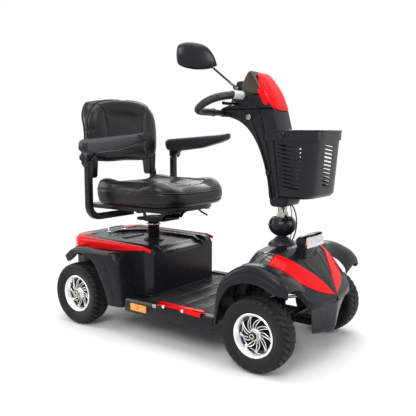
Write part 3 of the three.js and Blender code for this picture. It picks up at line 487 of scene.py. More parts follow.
def leather_group():
    """Embossed leather grain: soft cells between fine creases, as a height."""
    tree, given, out = group("Leather Grain", [("Scale", FLOAT, 420.0)], [("Height", FLOAT)])
    place = node(tree, "ShaderNodeTexCoord").outputs["Object"]
    warp = node(tree, "ShaderNodeTexNoise", {"Vector": place, "Scale": 90.0, "Detail": 3.0})
    moved = node(tree, "ShaderNodeMix", {"Factor": 0.04, 4: place, 5: warp.outputs["Color"]}, data_type="VECTOR")
    cells = node(
        tree, "ShaderNodeTexVoronoi", {"Vector": moved.outputs[1], "Scale": given.outputs["Scale"]},
        feature="DISTANCE_TO_EDGE",
    )
    crease = node(tree, "ShaderNodeMapRange", {"Value": cells.outputs["Distance"], "From Max": 0.18})
    slow = node(tree, "ShaderNodeTexNoise", {"Vector": place, "Scale": 35.0, "Detail": 4.0})
    height = maths(tree, "ADD", crease.outputs[0], slow.outputs["Fac"])
    tree.links.new(height.outputs[0], out.inputs["Height"])
    return tree


GROUPS = {}


def shared(name):
    """A node group, built the first time it is used."""
    makers = {
        "Mottle": mottle_group, "Worn Edge": worn_edge_group, "Settled Dust": dust_group,
        "Grain": grain_group, "Leather Grain": leather_group,
    }
    if name not in GROUPS:
        GROUPS[name] = makers[name]()
    return GROUPS[name]


def placed(tree, name, inputs):
    made = node(tree, "ShaderNodeGroup", node_tree=shared(name))
    for key, value in inputs.items():
        if isinstance(value, bpy.types.NodeSocket):
            tree.links.new(value, made.inputs[key])
        else:
            made.inputs[key].default_value = value
    return made


def rgba(colour, scale=1.0):
    return (*[min(c * scale, 1) for c in colour], 1)


def surface(name, colour, tint, roughness, spread=0.1, mottle=(7.0, 0.35), wear=0.0, dust=0.0,
            grain=None, leather=None, depth=0.0002, strength=0.3, **shader):
    """A Principled material whose colour, gloss and bump come from the shared groups."""
    material = bpy.data.materials.new(name)
    material.use_nodes = True
    tree = material.node_tree
    principled = tree.nodes["Principled BSDF"]
    for key, value in shader.items():
        principled.inputs[key.replace("_", " ")].default_value = value
    look = placed(tree, "Mottle", {
        "Color": rgba(colour), "Tint": rgba(tint), "Scale": mottle[0], "Amount": mottle[1],
        "Roughness": roughness, "Spread": spread,
    })
    colour_out, rough_out = look.outputs["Color"], look.outputs["Roughness"]
    if wear:
        worn = placed(tree, "Worn Edge", {"Color": colour_out, "Wear": rgba(tint, 2.2), "Amount": wear})
        colour_out = worn.outputs["Color"]
    if dust:
        dusty = placed(tree, "Settled Dust", {"Color": colour_out, "Roughness": rough_out, "Amount": dust})
        colour_out, rough_out = dusty.outputs["Color"], dusty.outputs["Roughness"]
    tree.links.new(colour_out, principled.inputs["Base Color"])
    tree.links.new(rough_out, principled.inputs["Roughness"])
    if grain or leather:
        relief = placed(tree, "Grain" if grain else "Leather Grain", {"Scale": grain or leather})
        bump = node(tree, "ShaderNodeBump", {"Height": relief.outputs[0], "Distance": depth, "Strength": strength})
        tree.links.new(bump.outputs[0], principled.inputs["Normal"])
    return material


MATERIALS = {}


def looks():
    """What surface takes for each look, by its slot name."""
    given = colours()

    def row(*main, **more):
        return main, more

    return {
        "charcoal_plastic": row(given.cover, [c * 1.6 for c in given.cover], 0.27, 0.10, wear=0.12, dust=0.01,
                                grain=1100.0, depth=0.00006, strength=0.10, Specular_IOR_Level=0.2),
        "red_gloss": row(given.trim, (0.86, 0.004, 0.004), 0.22, 0.05, mottle=(5.0, 0.25), wear=0.1, grain=240.0,
                         depth=0.00006, strength=0.08, Specular_IOR_Level=0.1, Coat_Weight=0.06, Coat_Roughness=0.06),
        "head_bronze": row(given.head, (0.075, 0.058, 0.038), 0.30, 0.08, wear=0.3, grain=1400.0, depth=0.00008,
                           strength=0.15, Metallic=0.6, Coat_Weight=0.2, Coat_Roughness=0.15),
        "black_vinyl": row(given.vinyl, (0.0125, 0.0105, 0.0090), 0.30, 0.06, mottle=(9.0, 0.2), wear=0.05,
                           leather=430.0, depth=0.00008, strength=0.06, Specular_IOR_Level=0.3),
        "tyre_rubber": row(given.rubber, (0.015, 0.0155, 0.016), 0.46, 0.12, mottle=(14.0, 0.5), wear=0.3,
                           dust=0.03, grain=700.0, depth=0.00015, strength=0.18, Specular_IOR_Level=0.18),
        "black_rubber": row(given.rubber, (0.016, 0.016, 0.017), 0.42, 0.12, wear=0.25, dust=0.06, grain=800.0,
                            depth=0.0002, strength=0.25, Specular_IOR_Level=0.35),
        "black_steel": row(given.steel, (0.013, 0.0135, 0.015), 0.27, 0.10, wear=0.2, dust=0.02, grain=500.0,
                           depth=0.00008, strength=0.12, Specular_IOR_Level=0.28),
        "black_plastic": row([c * 0.8 for c in given.cover], (0.014, 0.015, 0.017), 0.25, 0.08, wear=0.1,
                             grain=1300.0, depth=0.00005, strength=0.10, Specular_IOR_Level=0.25),
        "grip_foam": row((0.012, 0.0135, 0.0165), (0.024, 0.027, 0.033), 0.42, 0.12, mottle=(25.0, 0.5), wear=0.1,
                         grain=1500.0, depth=0.00015, strength=0.2, Specular_IOR_Level=0.3),
        "chrome": row((0.82, 0.83, 0.85), (0.66, 0.67, 0.70), 0.1, 0.06, mottle=(12.0, 0.4), grain=300.0,
                      depth=0.00003, strength=0.1, Metallic=1.0),
        "rim_alloy": row((0.90, 0.905, 0.915), (0.80, 0.80, 0.82), 0.3, 0.08, mottle=(30.0, 0.3), grain=900.0,
                         depth=0.00003, strength=0.1, Metallic=1.0),
        "dark_chrome": row((0.20, 0.205, 0.215), (0.13, 0.135, 0.14), 0.22, 0.08, mottle=(20.0, 0.4), grain=400.0,
                           depth=0.00003, strength=0.1, Metallic=1.0),
        "brass_nut": row((0.55, 0.50, 0.34), (0.40, 0.36, 0.25), 0.25, 0.12, mottle=(40.0, 0.5), wear=0.3,
                         grain=700.0, depth=0.00006, strength=0.2, Metallic=1.0),
        "bare_steel": row((0.46, 0.43, 0.38), (0.30, 0.28, 0.25), 0.24, 0.12, mottle=(18.0, 0.5), grain=600.0,
                          depth=0.00006, strength=0.2, Metallic=1.0),
        "amber_lens": row(given.reflector, (1.0, 0.42, 0.03), 0.12, 0.06, mottle=(120.0, 0.7), grain=420.0,
                          depth=0.0004, strength=0.6, Coat_Weight=0.6, Emission_Strength=0.0),
        "clear_lens": row((0.93, 0.95, 0.97), (0.80, 0.84, 0.88), 0.06, 0.03, mottle=(60.0, 0.4), grain=200.0,
                          depth=0.0003, strength=0.3, Transmission_Weight=0.45, IOR=1.49),
        "smoked_panel": row((0.035, 0.036, 0.036), (0.10, 0.10, 0.095), 0.1, 0.05, mottle=(16.0, 0.6),
                            grain=300.0, depth=0.00005, strength=0.1, Coat_Weight=0.8, Coat_Roughness=0.06),
        "mirror_glass": row((0.85, 0.88, 0.90), (0.78, 0.82, 0.85), 0.03, 0.02, mottle=(8.0, 0.3), Metallic=1.0),
        # painted_shade: a near-black matte painted as shade, behind the rim spokes, in the hub nut's centre recess
        # and beside the tiller's seam strips
        "painted_shade": row((0.004, 0.004, 0.005), (0.008, 0.008, 0.009), 0.6, 0.1, grain=300.0, depth=0.0001,
                         strength=0.2, Specular_IOR_Level=0.2),
        # Flat white for the dial marks and the bulbs; on the chrome ferrules it is a painted reflection.
        "dial_white": row((0.75, 0.76, 0.77), (0.62, 0.62, 0.62), 0.4, 0.1, mottle=(50.0, 0.3)),
    }


def finish(name):
    """A finish by its slot name, made the first time it is used."""
    if name not in MATERIALS:
        main, more = looks()[name]
        MATERIALS[name] = surface(name, *main, **more)
    return MATERIALS[name]


# ---- Front body ----
# Bonnet sections: x, half width, side height, crown half width, crown height.
BONNET = (
    (0.320, 0.185, 0.318, 0.100, 0.340), (0.345, 0.195, 0.335, 0.120, 0.385), (0.375, 0.199, 0.340, 0.142, 0.3885),
    (0.400, 0.200, 0.342, 0.150, 0.390), (0.440, 0.200, 0.342, 0.150, 0.384), (0.485, 0.192, 0.322, 0.130, 0.361),
    (0.516, 0.184, 0.296, 0.100, 0.332), (0.545, 0.174, 0.268, 0.060, 0.303), (0.565, 0.166, 0.246, 0.034, 0.277),
    (0.578, 0.150, 0.233, 0.022, 0.258), (0.590, 0.096, 0.223, 0.010, 0.240), (0.5985, 0.008, 0.219, 0.003, 0.2275),
)
BONNET_BACK, NOSE_TIP = 0.320, 0.5985
CREASE = ((0.320, 0.070), (0.500, 0.066), (0.560, 0.034), (0.598, 0.006))
LEAF_OUTER = ((0.430, 0.202), (0.488, 0.186), (0.534, 0.152), (0.570, 0.094), (0.5925, 0.012))
LEAF_INNER = ((0.440, 0.150), (0.485, 0.122), (0.530, 0.074), (0.565, 0.034), (0.595, 0.008))
WINDOW_OUTER = ((0.350, 0.196), (0.388, 0.200), (0.427, 0.204))
WINDOW_INNER = ((0.372, 0.160), (0.402, 0.152), (0.436, 0.150))


def bonnet_height(x, y):
    """Height of the bonnet's skin: a crowned middle, soft shoulders and two creases that run to the nose."""
    w, side, crown, top = at_x(BONNET, x)
    y = abs(y)
    if y < crown:
        z = top - 0.007 * (y / crown) ** 2
    else:
        q = min((y - crown) / max(w - crown, 1e-6), 1)
        z = top - 0.007 - (top - 0.007 - side) * (0.45 * q + 0.55 * q * q)
    ridge = max(0, 1 - abs(y - at_x(CREASE, x)[0]) / 0.009) * ease(0.44, 0.52, x)
    return z + 0.0028 * ridge


def bonnet_skin():
    """The skin from rim to rim; its last rows turn down into the rim."""

    def shape(u, v):
        x = BONNET_BACK + (NOSE_TIP - BONNET_BACK) * u
        w, side = at_x(BONNET, x)[:2]
        t = 2 * v - 1
        reach = min(abs(t) / 0.93, 1)
        rim = max((abs(t) - 0.93) / 0.07, 0)
        y = math.copysign(w * reach + 0.002 * rim, t)
        fall = 0.014 + 0.012 * ease(0.44, 0.52, x) - 0.012 * ease(0.575, 0.595, x)
        z = bonnet_height(x, y) if rim == 0 else side - fall * rim
        return (x, y, z)

    return sheet("bonnet", 110, 150, shape)


FENDER_TOP = (
    (0.272, 0.142), (0.279, 0.210), (0.291, 0.274), (0.325, 0.322), (0.387, 0.356), (0.448, 0.361), (0.514, 0.339),
    (0.550, 0.311), (0.559, 0.288),
)
FENDER_ARCH = (
    (0.288, 0.142), (0.296, 0.190), (0.308, 0.232), (0.340, 0.280), (0.403, 0.305), (0.459, 0.304), (0.499, 0.289),
    (0.530, 0.277), (0.549, 0.274),
)
# Fender section: share of the way from the top line to the arch, sideways place, and rise above the top line.
FENDER_SECTION = (
    (0.00, 0.178, -0.020), (0.00, 0.203, -0.011), (0.00, 0.232, -0.001), (0.00, 0.262, 0.003), (0.00, 0.286, 0.0015),
    (0.10, 0.2965, 0.000), (0.30, 0.3015, 0.0), (0.48, 0.3025, 0.0), (0.56, 0.3045, 0.0), (0.98, 0.3055, 0.0),
    (1.00, 0.3000, 0.0), (0.98, 0.2900, 0.0),
)


def fender(name, top, arch, section, columns=70, rows=44, foot=0.0, side=-1, tuck=0.0):
    """A mudguard: each section runs from its inner edge over the top line and down to the wheel arch."""

    def shape(u, v):
        a, b = along(top, u), along(arch, u)
        share, y, rise = along(section, v)
        line = a.lerp(b, share)
        y *= 1 - tuck * ease(0.72, 1.0, u)
        return (line[0], side * y, line[1] + rise * ease(foot, foot + 0.3, u))

    obj = thick(sheet(name, columns, rows, shape), sizes().shell, -1)
    return smooth(obj, 32)


def leaf(name, outer, inner, side, lift, wall, rows=10):
    """A panel that follows the bonnet between two edge lines."""

    def shape(u, v):
        (xi, yi), (xo, yo) = along(inner, u), along(outer, u)
        x, y = xi + (xo - xi) * v, yi + (yo - yi) * v
        edge = min(v, 1 - v) * abs(yo - yi)
        raised = lift - 0.0012 * (1 - ease(0, 0.006, edge))
        return (x, side * y, bonnet_height(x, y) + raised)

    obj = sheet(name, 60, rows, shape)
    return smooth(thick(obj, wall, -1), 40)


class SCOOTER_OT_front_body(bpy.types.Operator):
    """Bonnet, front fenders, red nose panels, side windows and prow plate"""

    bl_idname = "scooter.front_body"
    bl_label = "Front body"

    def execute(self, context):
        bonnet = thick(bonnet_skin(), sizes().shell, -1)
        hole = turned("column_hole", rectangle(0.0, 0.30, 0.040, 0.45), 48,
                      at=(middle("steering_boot").x, 0, 0))
        cut(bonnet, hole)
        parts = [smooth(bonnet, 32)]
        for name, side in SIDES:
            parts.append(fender("fender_front_" + name, FENDER_TOP, FENDER_ARCH, FENDER_SECTION, side=side,
                                tuck=0.045))
        give(joined("front_body", *parts), "chassis", "charcoal_plastic", node="front_shroud")
        for name, side in SIDES:
            panel = leaf("nose_leaf_" + name, LEAF_OUTER, LEAF_INNER, side, 0.0042, 0.0035)
            give(panel, "chassis", "red_gloss", node="nose_panel_" + name)
            window = leaf("side_window_" + name, WINDOW_OUTER, WINDOW_INNER, side, 0.0026, 0.002)
            give(window, "chassis", "smoked_panel", "black_plastic")
            for i, t in enumerate((0.35, 0.8)):
                (xi, yi), (xo, yo) = along(WINDOW_INNER, t), along(WINDOW_OUTER, t - 0.25)
                path = [
                    (xi + (xo - xi) * s, side * (yi + (yo - yi) * s),
                     bonnet_height(xi + (xo - xi) * s, yi + (yo - yi) * s) + 0.003)
                    for s in (0.04, 0.35, 0.65, 0.96)
                ]
                rib = tube(f"window_rib_{name}_{i}", path, 0.0016, facets=3)
                give(rib, "chassis", "charcoal_plastic")
        self.prow()
        return {"FINISHED"}

    def prow(self):
        """The plate under the nose: a blunt V in plan that narrows downwards, with a small step near its foot."""
        high_half, low_half = 0.158, 0.078

        def shape(u, v):
            t = 2 * u - 1
            half = high_half + (low_half - high_half) * v
            vee = 0.027 + 0.018 * v
            x = 0.5970 - 0.0100 * v - vee * (abs(t) ** 1.25) - 0.002 * ease(0.9, 1.0, v)
            z = 0.2085 + 0.0130 * abs(t) ** 1.4 * (1 - v) + (0.1000 - 0.2085) * v
            step = 0.0025 * ease(0.86, 0.90, v) * (1 - ease(0.5, 0.6, abs(t)))
            return (x - step, t * half, z)

        plate_ = thick(sheet("prow_plate", 60, 50, shape), 0.0045, 1)
        eased(plate_, 0.001, 2, angle=50)
        smooth(plate_, 30)
        bracket = plate("prow_bracket", rectangle(0.549, 0.112, 0.584, 0.127), "xz",
                        -0.016, 0.016, 0.001)
        give(joined("prow", plate_, bracket), "chassis", "charcoal_plastic", node="bumper_plate")


class SCOOTER_OT_lamp(bpy.types.Operator):
    """Headlight: black hooded housing, ribbed reflector, two bulbs, amber ends and a clear lens"""

    bl_idname = "scooter.lamp"
    bl_label = "Headlight"

    def execute(self, context):
        low, high = span("headlight")
        front, half = high.x + 0.001, high.y - 0.003
        foot, top = 0.3955, high.z + 0.0015
        outline = [(0.464, 0.404), (0.474, 0.396), (front - 0.006, 0.3925), (front - 0.004, 0.4320), (0.476, 0.4330),
                   (0.464, 0.424)]
        housing = smooth(plate("lamp_housing", outline, "xz", -half, half, 0.004), 35)
        neck = [(low.x + 0.010, bonnet_height(low.x + 0.010, 0) - 0.002), (0.494, bonnet_height(0.494, 0) - 0.002),
                (0.497, 0.398), (0.462, 0.408)]
        stalk = smooth(plate("lamp_neck", neck, "xz", -0.046, 0.046, 0.005), 35)
        hood_points = [
            (front + 0.016 - 0.022 * abs(t) ** 2, t * (half + 0.002), top + 0.0145 - 0.0170 * abs(t) ** 2.2)
            for t in (-1, -0.75, -0.4, 0, 0.4, 0.75, 1)
        ]

        def hood(u, v):
            edge = along(hood_points, u)
            root = Vector((0.466, (2 * u - 1) * half * 0.97, top - 0.010))
            bulge = 0.007 * math.sin(math.pi * v)
            p = root.lerp(edge, v)
            return (p.x, p.y, p.z + bulge)

        brow = smooth(thick(sheet("lamp_hood", 28, 10, hood), 0.0025, -1), 40)
        give(joined("lamp_body", housing, stalk, brow), "chassis", "black_plastic", node="headlight")

        def bowl(u, v):
            y = (2 * u - 1) * (half - 0.006)
            z = foot + (top - 0.003 - foot) * v
            flute = 0.0012 * math.sin(u * math.pi * 18)
            centre = min(abs(y - 0.024), abs(y + 0.024)) / 0.024
            return (front - 0.0050 + 0.004 * min(centre, 1) ** 2 + flute * 0.4, y, z)

        reflector = smooth(sheet("lamp_reflector", 90, 16, bowl), 60)
        give(reflector, "chassis", "chrome")
        for name, side in SIDES:
            bulb = turned(
                "bulb_" + name,
                [(0.0, 0), (0.0075, 0), (0.0085, 0.003), (0.0078, 0.007), (0.004, 0.0095), (0.0, 0.010)],
                24, axis=(1, 0, 0), at=(front - 0.006, side * 0.024, (top + foot) / 2),
            )
            give(smooth(bulb, 50), "chassis", "dial_white", "clear_lens")
            y0, y1 = sorted((side * (half - 0.0170), side * (half - 0.0040)))
            marker = plate(
                "lamp_marker_" + name,
                [(front - 0.006, foot + 0.006), (front + 0.003, foot + 0.007), (front + 0.002, top - 0.010),
                 (front - 0.006, top - 0.008)],
                "xz", y0, y1, 0.0015,
            )
            give(smooth(marker, 35), "chassis", "amber_lens")

        def lens(u, v):
            t = 2 * u - 1
            y = t * (half - 0.001)
            z = foot - 0.001 + (top + 0.001 - foot) * v
            return (front + 0.0085 - 0.004 * v - 0.004 * t * t, y, z)

        glass = smooth(thick(sheet("lamp_lens", 40, 12, lens), 0.002, -1), 40)
        give(glass, "chassis", "clear_lens")
        return {"FINISHED"}


# ---- Rear body ----
# Half of the cover's outline in plan, from the front round to the tail, as (x, y).
BOX_PLAN = (
    (-0.0975, 0.2030), (-0.130, 0.2065), (-0.300, 0.2095), (-0.480, 0.2140), (-0.535, 0.2010), (-0.570, 0.1700),
    (-0.592, 0.1200), (-0.601, 0.0600), (-0.6025, 0.0),
)
DECK_LINE = ((-0.0920, 0.336), (-0.130, 0.345), (-0.480, 0.350), (-0.550, 0.353), (-0.592, 0.351), (-0.6025, 0.345))
BOX_FRONT, BOX_TAIL = -0.092, -0.6025
RECESS_HALF = 0.128


def box_half(x):
    """Half width of the box at x, from its plan outline."""
    return at_x(BOX_PLAN, x)[0]


def deck_height(x, y):
    """The deck: raised side strips, a sunk middle that opens to the front, and an arched rim behind."""
    z = at_x(DECK_LINE, x)[0]
    rim = -0.500 + 0.085 * (abs(y) / RECESS_HALF) ** 2
    sunk = (1 - ease(RECESS_HALF - 0.012, RECESS_HALF, abs(y))) * ease(rim - 0.006, rim + 0.010, x)
    front_step = 0.009 * ease(-0.150, -0.125, x) * (1 - ease(0.140, 0.150, abs(y)))
    strip_end = 0.006 * ease(-0.118, -0.098, x) * ease(0.150, 0.158, abs(y))
    crown = 0.005 * ease(0.135, 0.16, abs(y)) * (1 - ease(0.175, 0.20, abs(y))) * ease(-0.56, -0.50, x)
    return z - 0.012 * sunk - front_step - strip_end * 0.4 + crown


def box_shell():
    """Walls and deck in one skin; each section runs up one wall, over the deck and down the other."""
    bottom_front, bottom_tail, roll = 0.1503, 0.2105, 0.014

    def shape(u, v):
        back = 1 - (1 - u) ** 1.35
        x = BOX_FRONT + (BOX_TAIL - BOX_FRONT) * back
        pull = 0.009 * (1 - ease(0, 0.014, BOX_FRONT - x))
        w = max(box_half(min(x, -0.0975)) - pull, 0.0005)
        bottom = bottom_front + (bottom_tail - bottom_front) * ease(0.37, 0.385, -x)
        t = 2 * v - 1
        wall_share = 0.30
        up = (1 - abs(t)) / wall_share
        top = at_x(DECK_LINE, x)[0] - roll * 0.4
        if up < 1:
            y, z = w, bottom + (top - roll * 0.6 - bottom) * up
        else:
            across = abs(t) / (1 - wall_share)
            corner = ease(0.93, 1.0, across)
            y = w * across
            z = deck_height(x, y) - roll * corner ** 2
        return (x, math.copysign(y, t), z - (pull * 0.9 if up >= 1 else 0))

    return sheet("box_shell", 150, 200, shape)


def band(name, low, inner, lift, columns=160, rows=16, start=0.0, end=1.0):
    """A strip round the box's shoulder: low is its lower edge and inner how far it laps on to the deck."""
    half = list(through(BOX_PLAN, 60))
    loop = [(p[0], -p[1]) for p in half] + [(p[0], p[1]) for p in reversed(half[:-1])]

    def shape(u, v):
        s = start + (end - start) * u
        k = s * (len(loop) - 1)
        i = min(int(k), len(loop) - 2)
        a, b = Vector(loop[i]), Vector(loop[i + 1])
        run = (Vector(loop[min(i + 2, len(loop) - 1)]) - Vector(loop[max(i - 1, 0)])).normalized()
        inward = Vector((-run.y, run.x)) * -1
        if inward.dot(Vector((-0.3, 0)) - a) < 0:
            inward = -inward
        p = a.lerp(b, k - i)
        top = at_x(DECK_LINE, p.x)[0]
        wall_low = at_x(low, p.x)[0]
        lap = at_x(inner, p.x)[0]
        if v < 0.45:
            z = wall_low + (top - 0.009 - wall_low) * v / 0.45
            q = p - inward * lift
        else:
            t = (v - 0.45) / 0.55
            q = p - inward * lift * (1 - t) + inward * lap * t
            z = top - 0.009 + (0.009 + lift * 0.8) * math.sin(min(t * 2.2, 1) * math.pi / 2)
        return (q.x, q.y, z)

    return sheet(name, columns, rows, shape)


REAR_TOP = (
    (-0.170, 0.114), (-0.180, 0.180), (-0.195, 0.250), (-0.207, 0.298), (-0.232, 0.3205), (-0.285, 0.3195),
    (-0.345, 0.3190), (-0.420, 0.3225), (-0.470, 0.3135), (-0.507, 0.2850),
)
REAR_ARCH = (
    (-0.240, 0.114), (-0.252, 0.150), (-0.268, 0.190), (-0.290, 0.228), (-0.312, 0.262), (-0.340, 0.290),
    (-0.380, 0.305), (-0.425, 0.301), (-0.455, 0.278), (-0.478, 0.262),
)
REAR_SECTION = (
    (0.00, 0.203, -0.014), (0.00, 0.214, -0.011), (0.00, 0.236, -0.002), (0.00, 0.262, 0.0035), (0.01, 0.284, 0.002),
    (0.08, 0.2955, 0.000), (0.28, 0.2990, 0.0), (0.52, 0.3000, 0.0), (0.60, 0.3020, 0.0), (0.98, 0.3030, 0.0),
    (1.00, 0.2980, 0.0), (0.98, 0.2880, 0.0),
)


class SCOOTER_OT_rear_body(bpy.types.Operator):
    """Battery box with its deck and rear fenders, the red band, the carry handle and the rear fender tips"""

    bl_idname = "scooter.rear_body"
    bl_label = "Rear body"

    def execute(self, context):
        shell = box_shell()
        only(shell)
        bpy.ops.object.mode_set(mode="EDIT")
        bpy.ops.mesh.select_all(action="DESELECT")
        bpy.ops.object.mode_set(mode="OBJECT")
        for e in shell.data.edges:
            e.select = all(abs(shell.data.vertices[i].co.x - BOX_FRONT) < 1e-5 for i in e.vertices)
        bpy.ops.object.mode_set(mode="EDIT")
        bpy.ops.mesh.select_mode(type="EDGE")
        bpy.ops.mesh.edge_face_add()
        bpy.ops.object.mode_set(mode="OBJECT")
        thick(shell, sizes().shell * 0.75, -1)
        post = middle("seat_post")
        cut(shell, turned("post_hole", rectangle(0.0, 0.30, 0.032, 0.42), 48,
                          at=(post.x, post.y, 0)))
        parts = [smooth(shell, 30)]
        for name, side in SIDES:
            parts.append(
                fender("fender_rear_" + name, REAR_TOP, REAR_ARCH, REAR_SECTION, columns=80, side=side)
            )
        give(joined("rear_body", *parts), "chassis", "charcoal_plastic", node="rear_cover")

        low = ((-0.110, 0.3385), (-0.150, 0.3310), (-0.260, 0.3200), (-0.480, 0.3120), (-0.6025, 0.3100))
        inner = ((-0.110, 0.000), (-0.200, 0.008), (-0.400, 0.020), (-0.500, 0.040), (-0.560, 0.064),
                 (-0.6025, 0.078))
        trim = band("red_band", low, inner, 0.0036, start=0.008, end=0.992)
        edited(trim, merge, outwards)
        applied(trim, "SOLIDIFY", thickness=0.0028, offset=-1)
        give(smooth(trim, 40), "chassis", "red_gloss", node="rear_trim")
        self.details()
        return {"FINISHED"}

    def details(self):
        handle = span("carry_handle")
        x, top = (handle[0].x + handle[1].x) / 2, handle[1].z
        half = handle[1].y - 0.006
        grip = tube(
            "carry_grip",
            [(x, -half, top - 0.016), (x, -half * 0.9, top - 0.007), (x, -half * 0.5, top - 0.0045),
             (x, half * 0.5, top - 0.0045), (x, half * 0.9, top - 0.007), (x, half, top - 0.016)],
            0.0045, facets=8, fineness=10,
        )
        feet = [
            smooth(turned("grip_foot", [(0, 0), (0.010, 0), (0.010, 0.002), (0.007, 0.004), (0, 0.004)], 24,
                          at=(x, side * half, deck_height(x, half) + 0.0005)), 40)
            for _, side in SIDES
        ]
        give(joined("carry_handle_bar", grip, *feet), "chassis", "chrome", node="carry_handle")
        collar_at = middle("seat_post")
        z = deck_height(collar_at.x, 0) + 0.0004
        collar = smooth(
            turned("post_collar",
                   [(0.0262, z), (0.044, z), (0.044, z + 0.003), (0.034, z + 0.010), (0.0262, z + 0.011)],
                   48, at=(collar_at.x, 0, 0)), 35)
        give(collar, "chassis", "black_rubber")
        for name, side in SIDES:
            tip = plate("fender_tip_" + name,
                        [(-0.470, 0.318), (-0.494, 0.300), (-0.512, 0.281), (-0.5145, 0.284), (-0.497, 0.306),
                         (-0.472, 0.3235)],
                        "xz", *sorted((side * 0.214, side * 0.262)), 0.001)
            give(smooth(tip, 35), "chassis", "red_gloss")
            ledge = tube("box_foot_bead_" + name, [
                (-0.160, side * 0.2105, 0.1535), (-0.130, side * 0.2095, 0.1535), (-0.104, side * 0.2065, 0.1535),
                (-0.0935, side * 0.195, 0.1535), (-0.0905, side * 0.150, 0.1535), (-0.0905, 0.0, 0.1535),
            ], 0.0028, facets=4)
            give(ledge, "chassis", "charcoal_plastic")


# ---- Footwell ----
class SCOOTER_OT_footwell(bpy.types.Operator):
    """Floor pan, ribbed mat, red sill strips, reflectors and their screws"""

    bl_idname = "scooter.footwell"
    bl_label = "Footwell"

    def execute(self, context):
        machined("floor_pan", "chassis", "charcoal_plastic", "charcoal_plastic", 0.004)
        low, high = span("floor_mat")
        top = high.z - 0.0012
        base = plate("mat_base", rectangle(low.x, low.y, high.x, high.y), "xy",
                     low.z, top - 0.0012, 0.0008)
        pads = []
        gap, columns, rows = 0.004, 4, 3
        dx = (high.x - low.x - 0.012) / columns
        dy = (high.y - low.y - 0.012) / rows
        for i in range(columns):
            for j in range(rows):
                x0, y0 = low.x + 0.006 + i * dx + gap / 2, low.y + 0.006 + j * dy + gap / 2
                x1, y1 = x0 + dx - gap, y0 + dy - gap
                pads.append(plate("mat_pad", rectangle(x0, y0, x1, y1), "xy", top - 0.0013, top, 0.0006, 2))
                for k in range(7):
                    y = y0 + (y1 - y0) * (k + 1) / 8
                    rib = rectangle(x0 + 0.010, y - 0.0011, x1 - 0.010, y + 0.0011)
                    pads.append(plate("mat_rib", rib, "xy", top - 0.0002, top + 0.0011, 0.0004, 1))
        mat = joined("ribbed_mat", base, *pads)
        give(smooth(mat, 35), "chassis", "black_rubber", node="floor_mat")
        for name, side in SIDES:
            self.sill(name, side)
        return {"FINISHED"}

    def sill(self, name, side):
        low, high = span("sill_trim_" + name)
        edge = max(abs(low.y), abs(high.y))
        section = [(edge - 0.038, high.z - 0.0045), (edge - 0.034, high.z - 0.0012), (edge - 0.010, high.z),
                   (edge - 0.002, high.z - 0.0030), (edge, high.z - 0.0080), (edge, high.z - 0.0190),
                   (edge - 0.0035, high.z - 0.0190), (edge - 0.0035, high.z - 0.0100),
                   (edge - 0.012, high.z - 0.0060), (edge - 0.038, high.z - 0.0080)]
        strip_ = plate("sill_strip_" + name, [(side * y, z) for y, z in section], "yz", low.x + 0.001, high.x - 0.014,
                       0.0016)
        for v in strip_.data.vertices:
            lead = ease(low.x, low.x + 0.028, v.co.x)
            v.co.y += side * -0.020 * (1 - lead) * (edge - abs(v.co.y) < 0.004)
        give(smooth(strip_, 40), "chassis", "red_gloss", node="sill_trim_" + name)
        y_out = side * max(abs(low.y), abs(high.y))
        for i, x in enumerate((0.050, 0.139)):
            screw = bolt(f"sill_screw_{name}_{i}", (x, y_out - side * 0.004, high.z - 0.012),
                         (0, side * 0.7, 0.7), 0.0062, 0.006)
            give(screw, "chassis", "chrome")
        outline = [(-0.006, 0.1478), (0.0125, 0.1478), (0.0125, 0.1520), (0.006, 0.1605), (-0.006, 0.1605)]
        tab = plate("sill_tab_" + name, outline, "xz", *sorted((side * 0.294, side * 0.3022)), 0.0012)
        give(smooth(tab, 35), "chassis", "bare_steel", "black_steel")
        lo, hi = span("side_reflector_" + name)
        y0, y1 = sorted((side * 0.3004, side * 0.3058))
        mid = (lo.x + hi.x) / 2
        halves = []
        for x0, x1 in ((lo.x + 0.001, mid - 0.0008), (mid + 0.0008, hi.x - 0.001)):
            halves.append(plate("reflector_half", rectangle(x0, lo.z + 0.001, x1, hi.z - 0.001), "xz", y0, y1,
                                0.0015))
            for i in range(7):
                x = x0 + (x1 - x0) * (i + 0.5) / 7
                halves.append(
                    plate("reflector_prism", rectangle(x - 0.0012, lo.z + 0.004, x + 0.0012, hi.z - 0.004), "xz",
                          *sorted((side * 0.3055, side * 0.3062)), 0.0003, 1)
                )
        give(smooth(joined("reflector_" + name, *halves), 35), "chassis", "amber_lens", node="side_reflector_" + name)


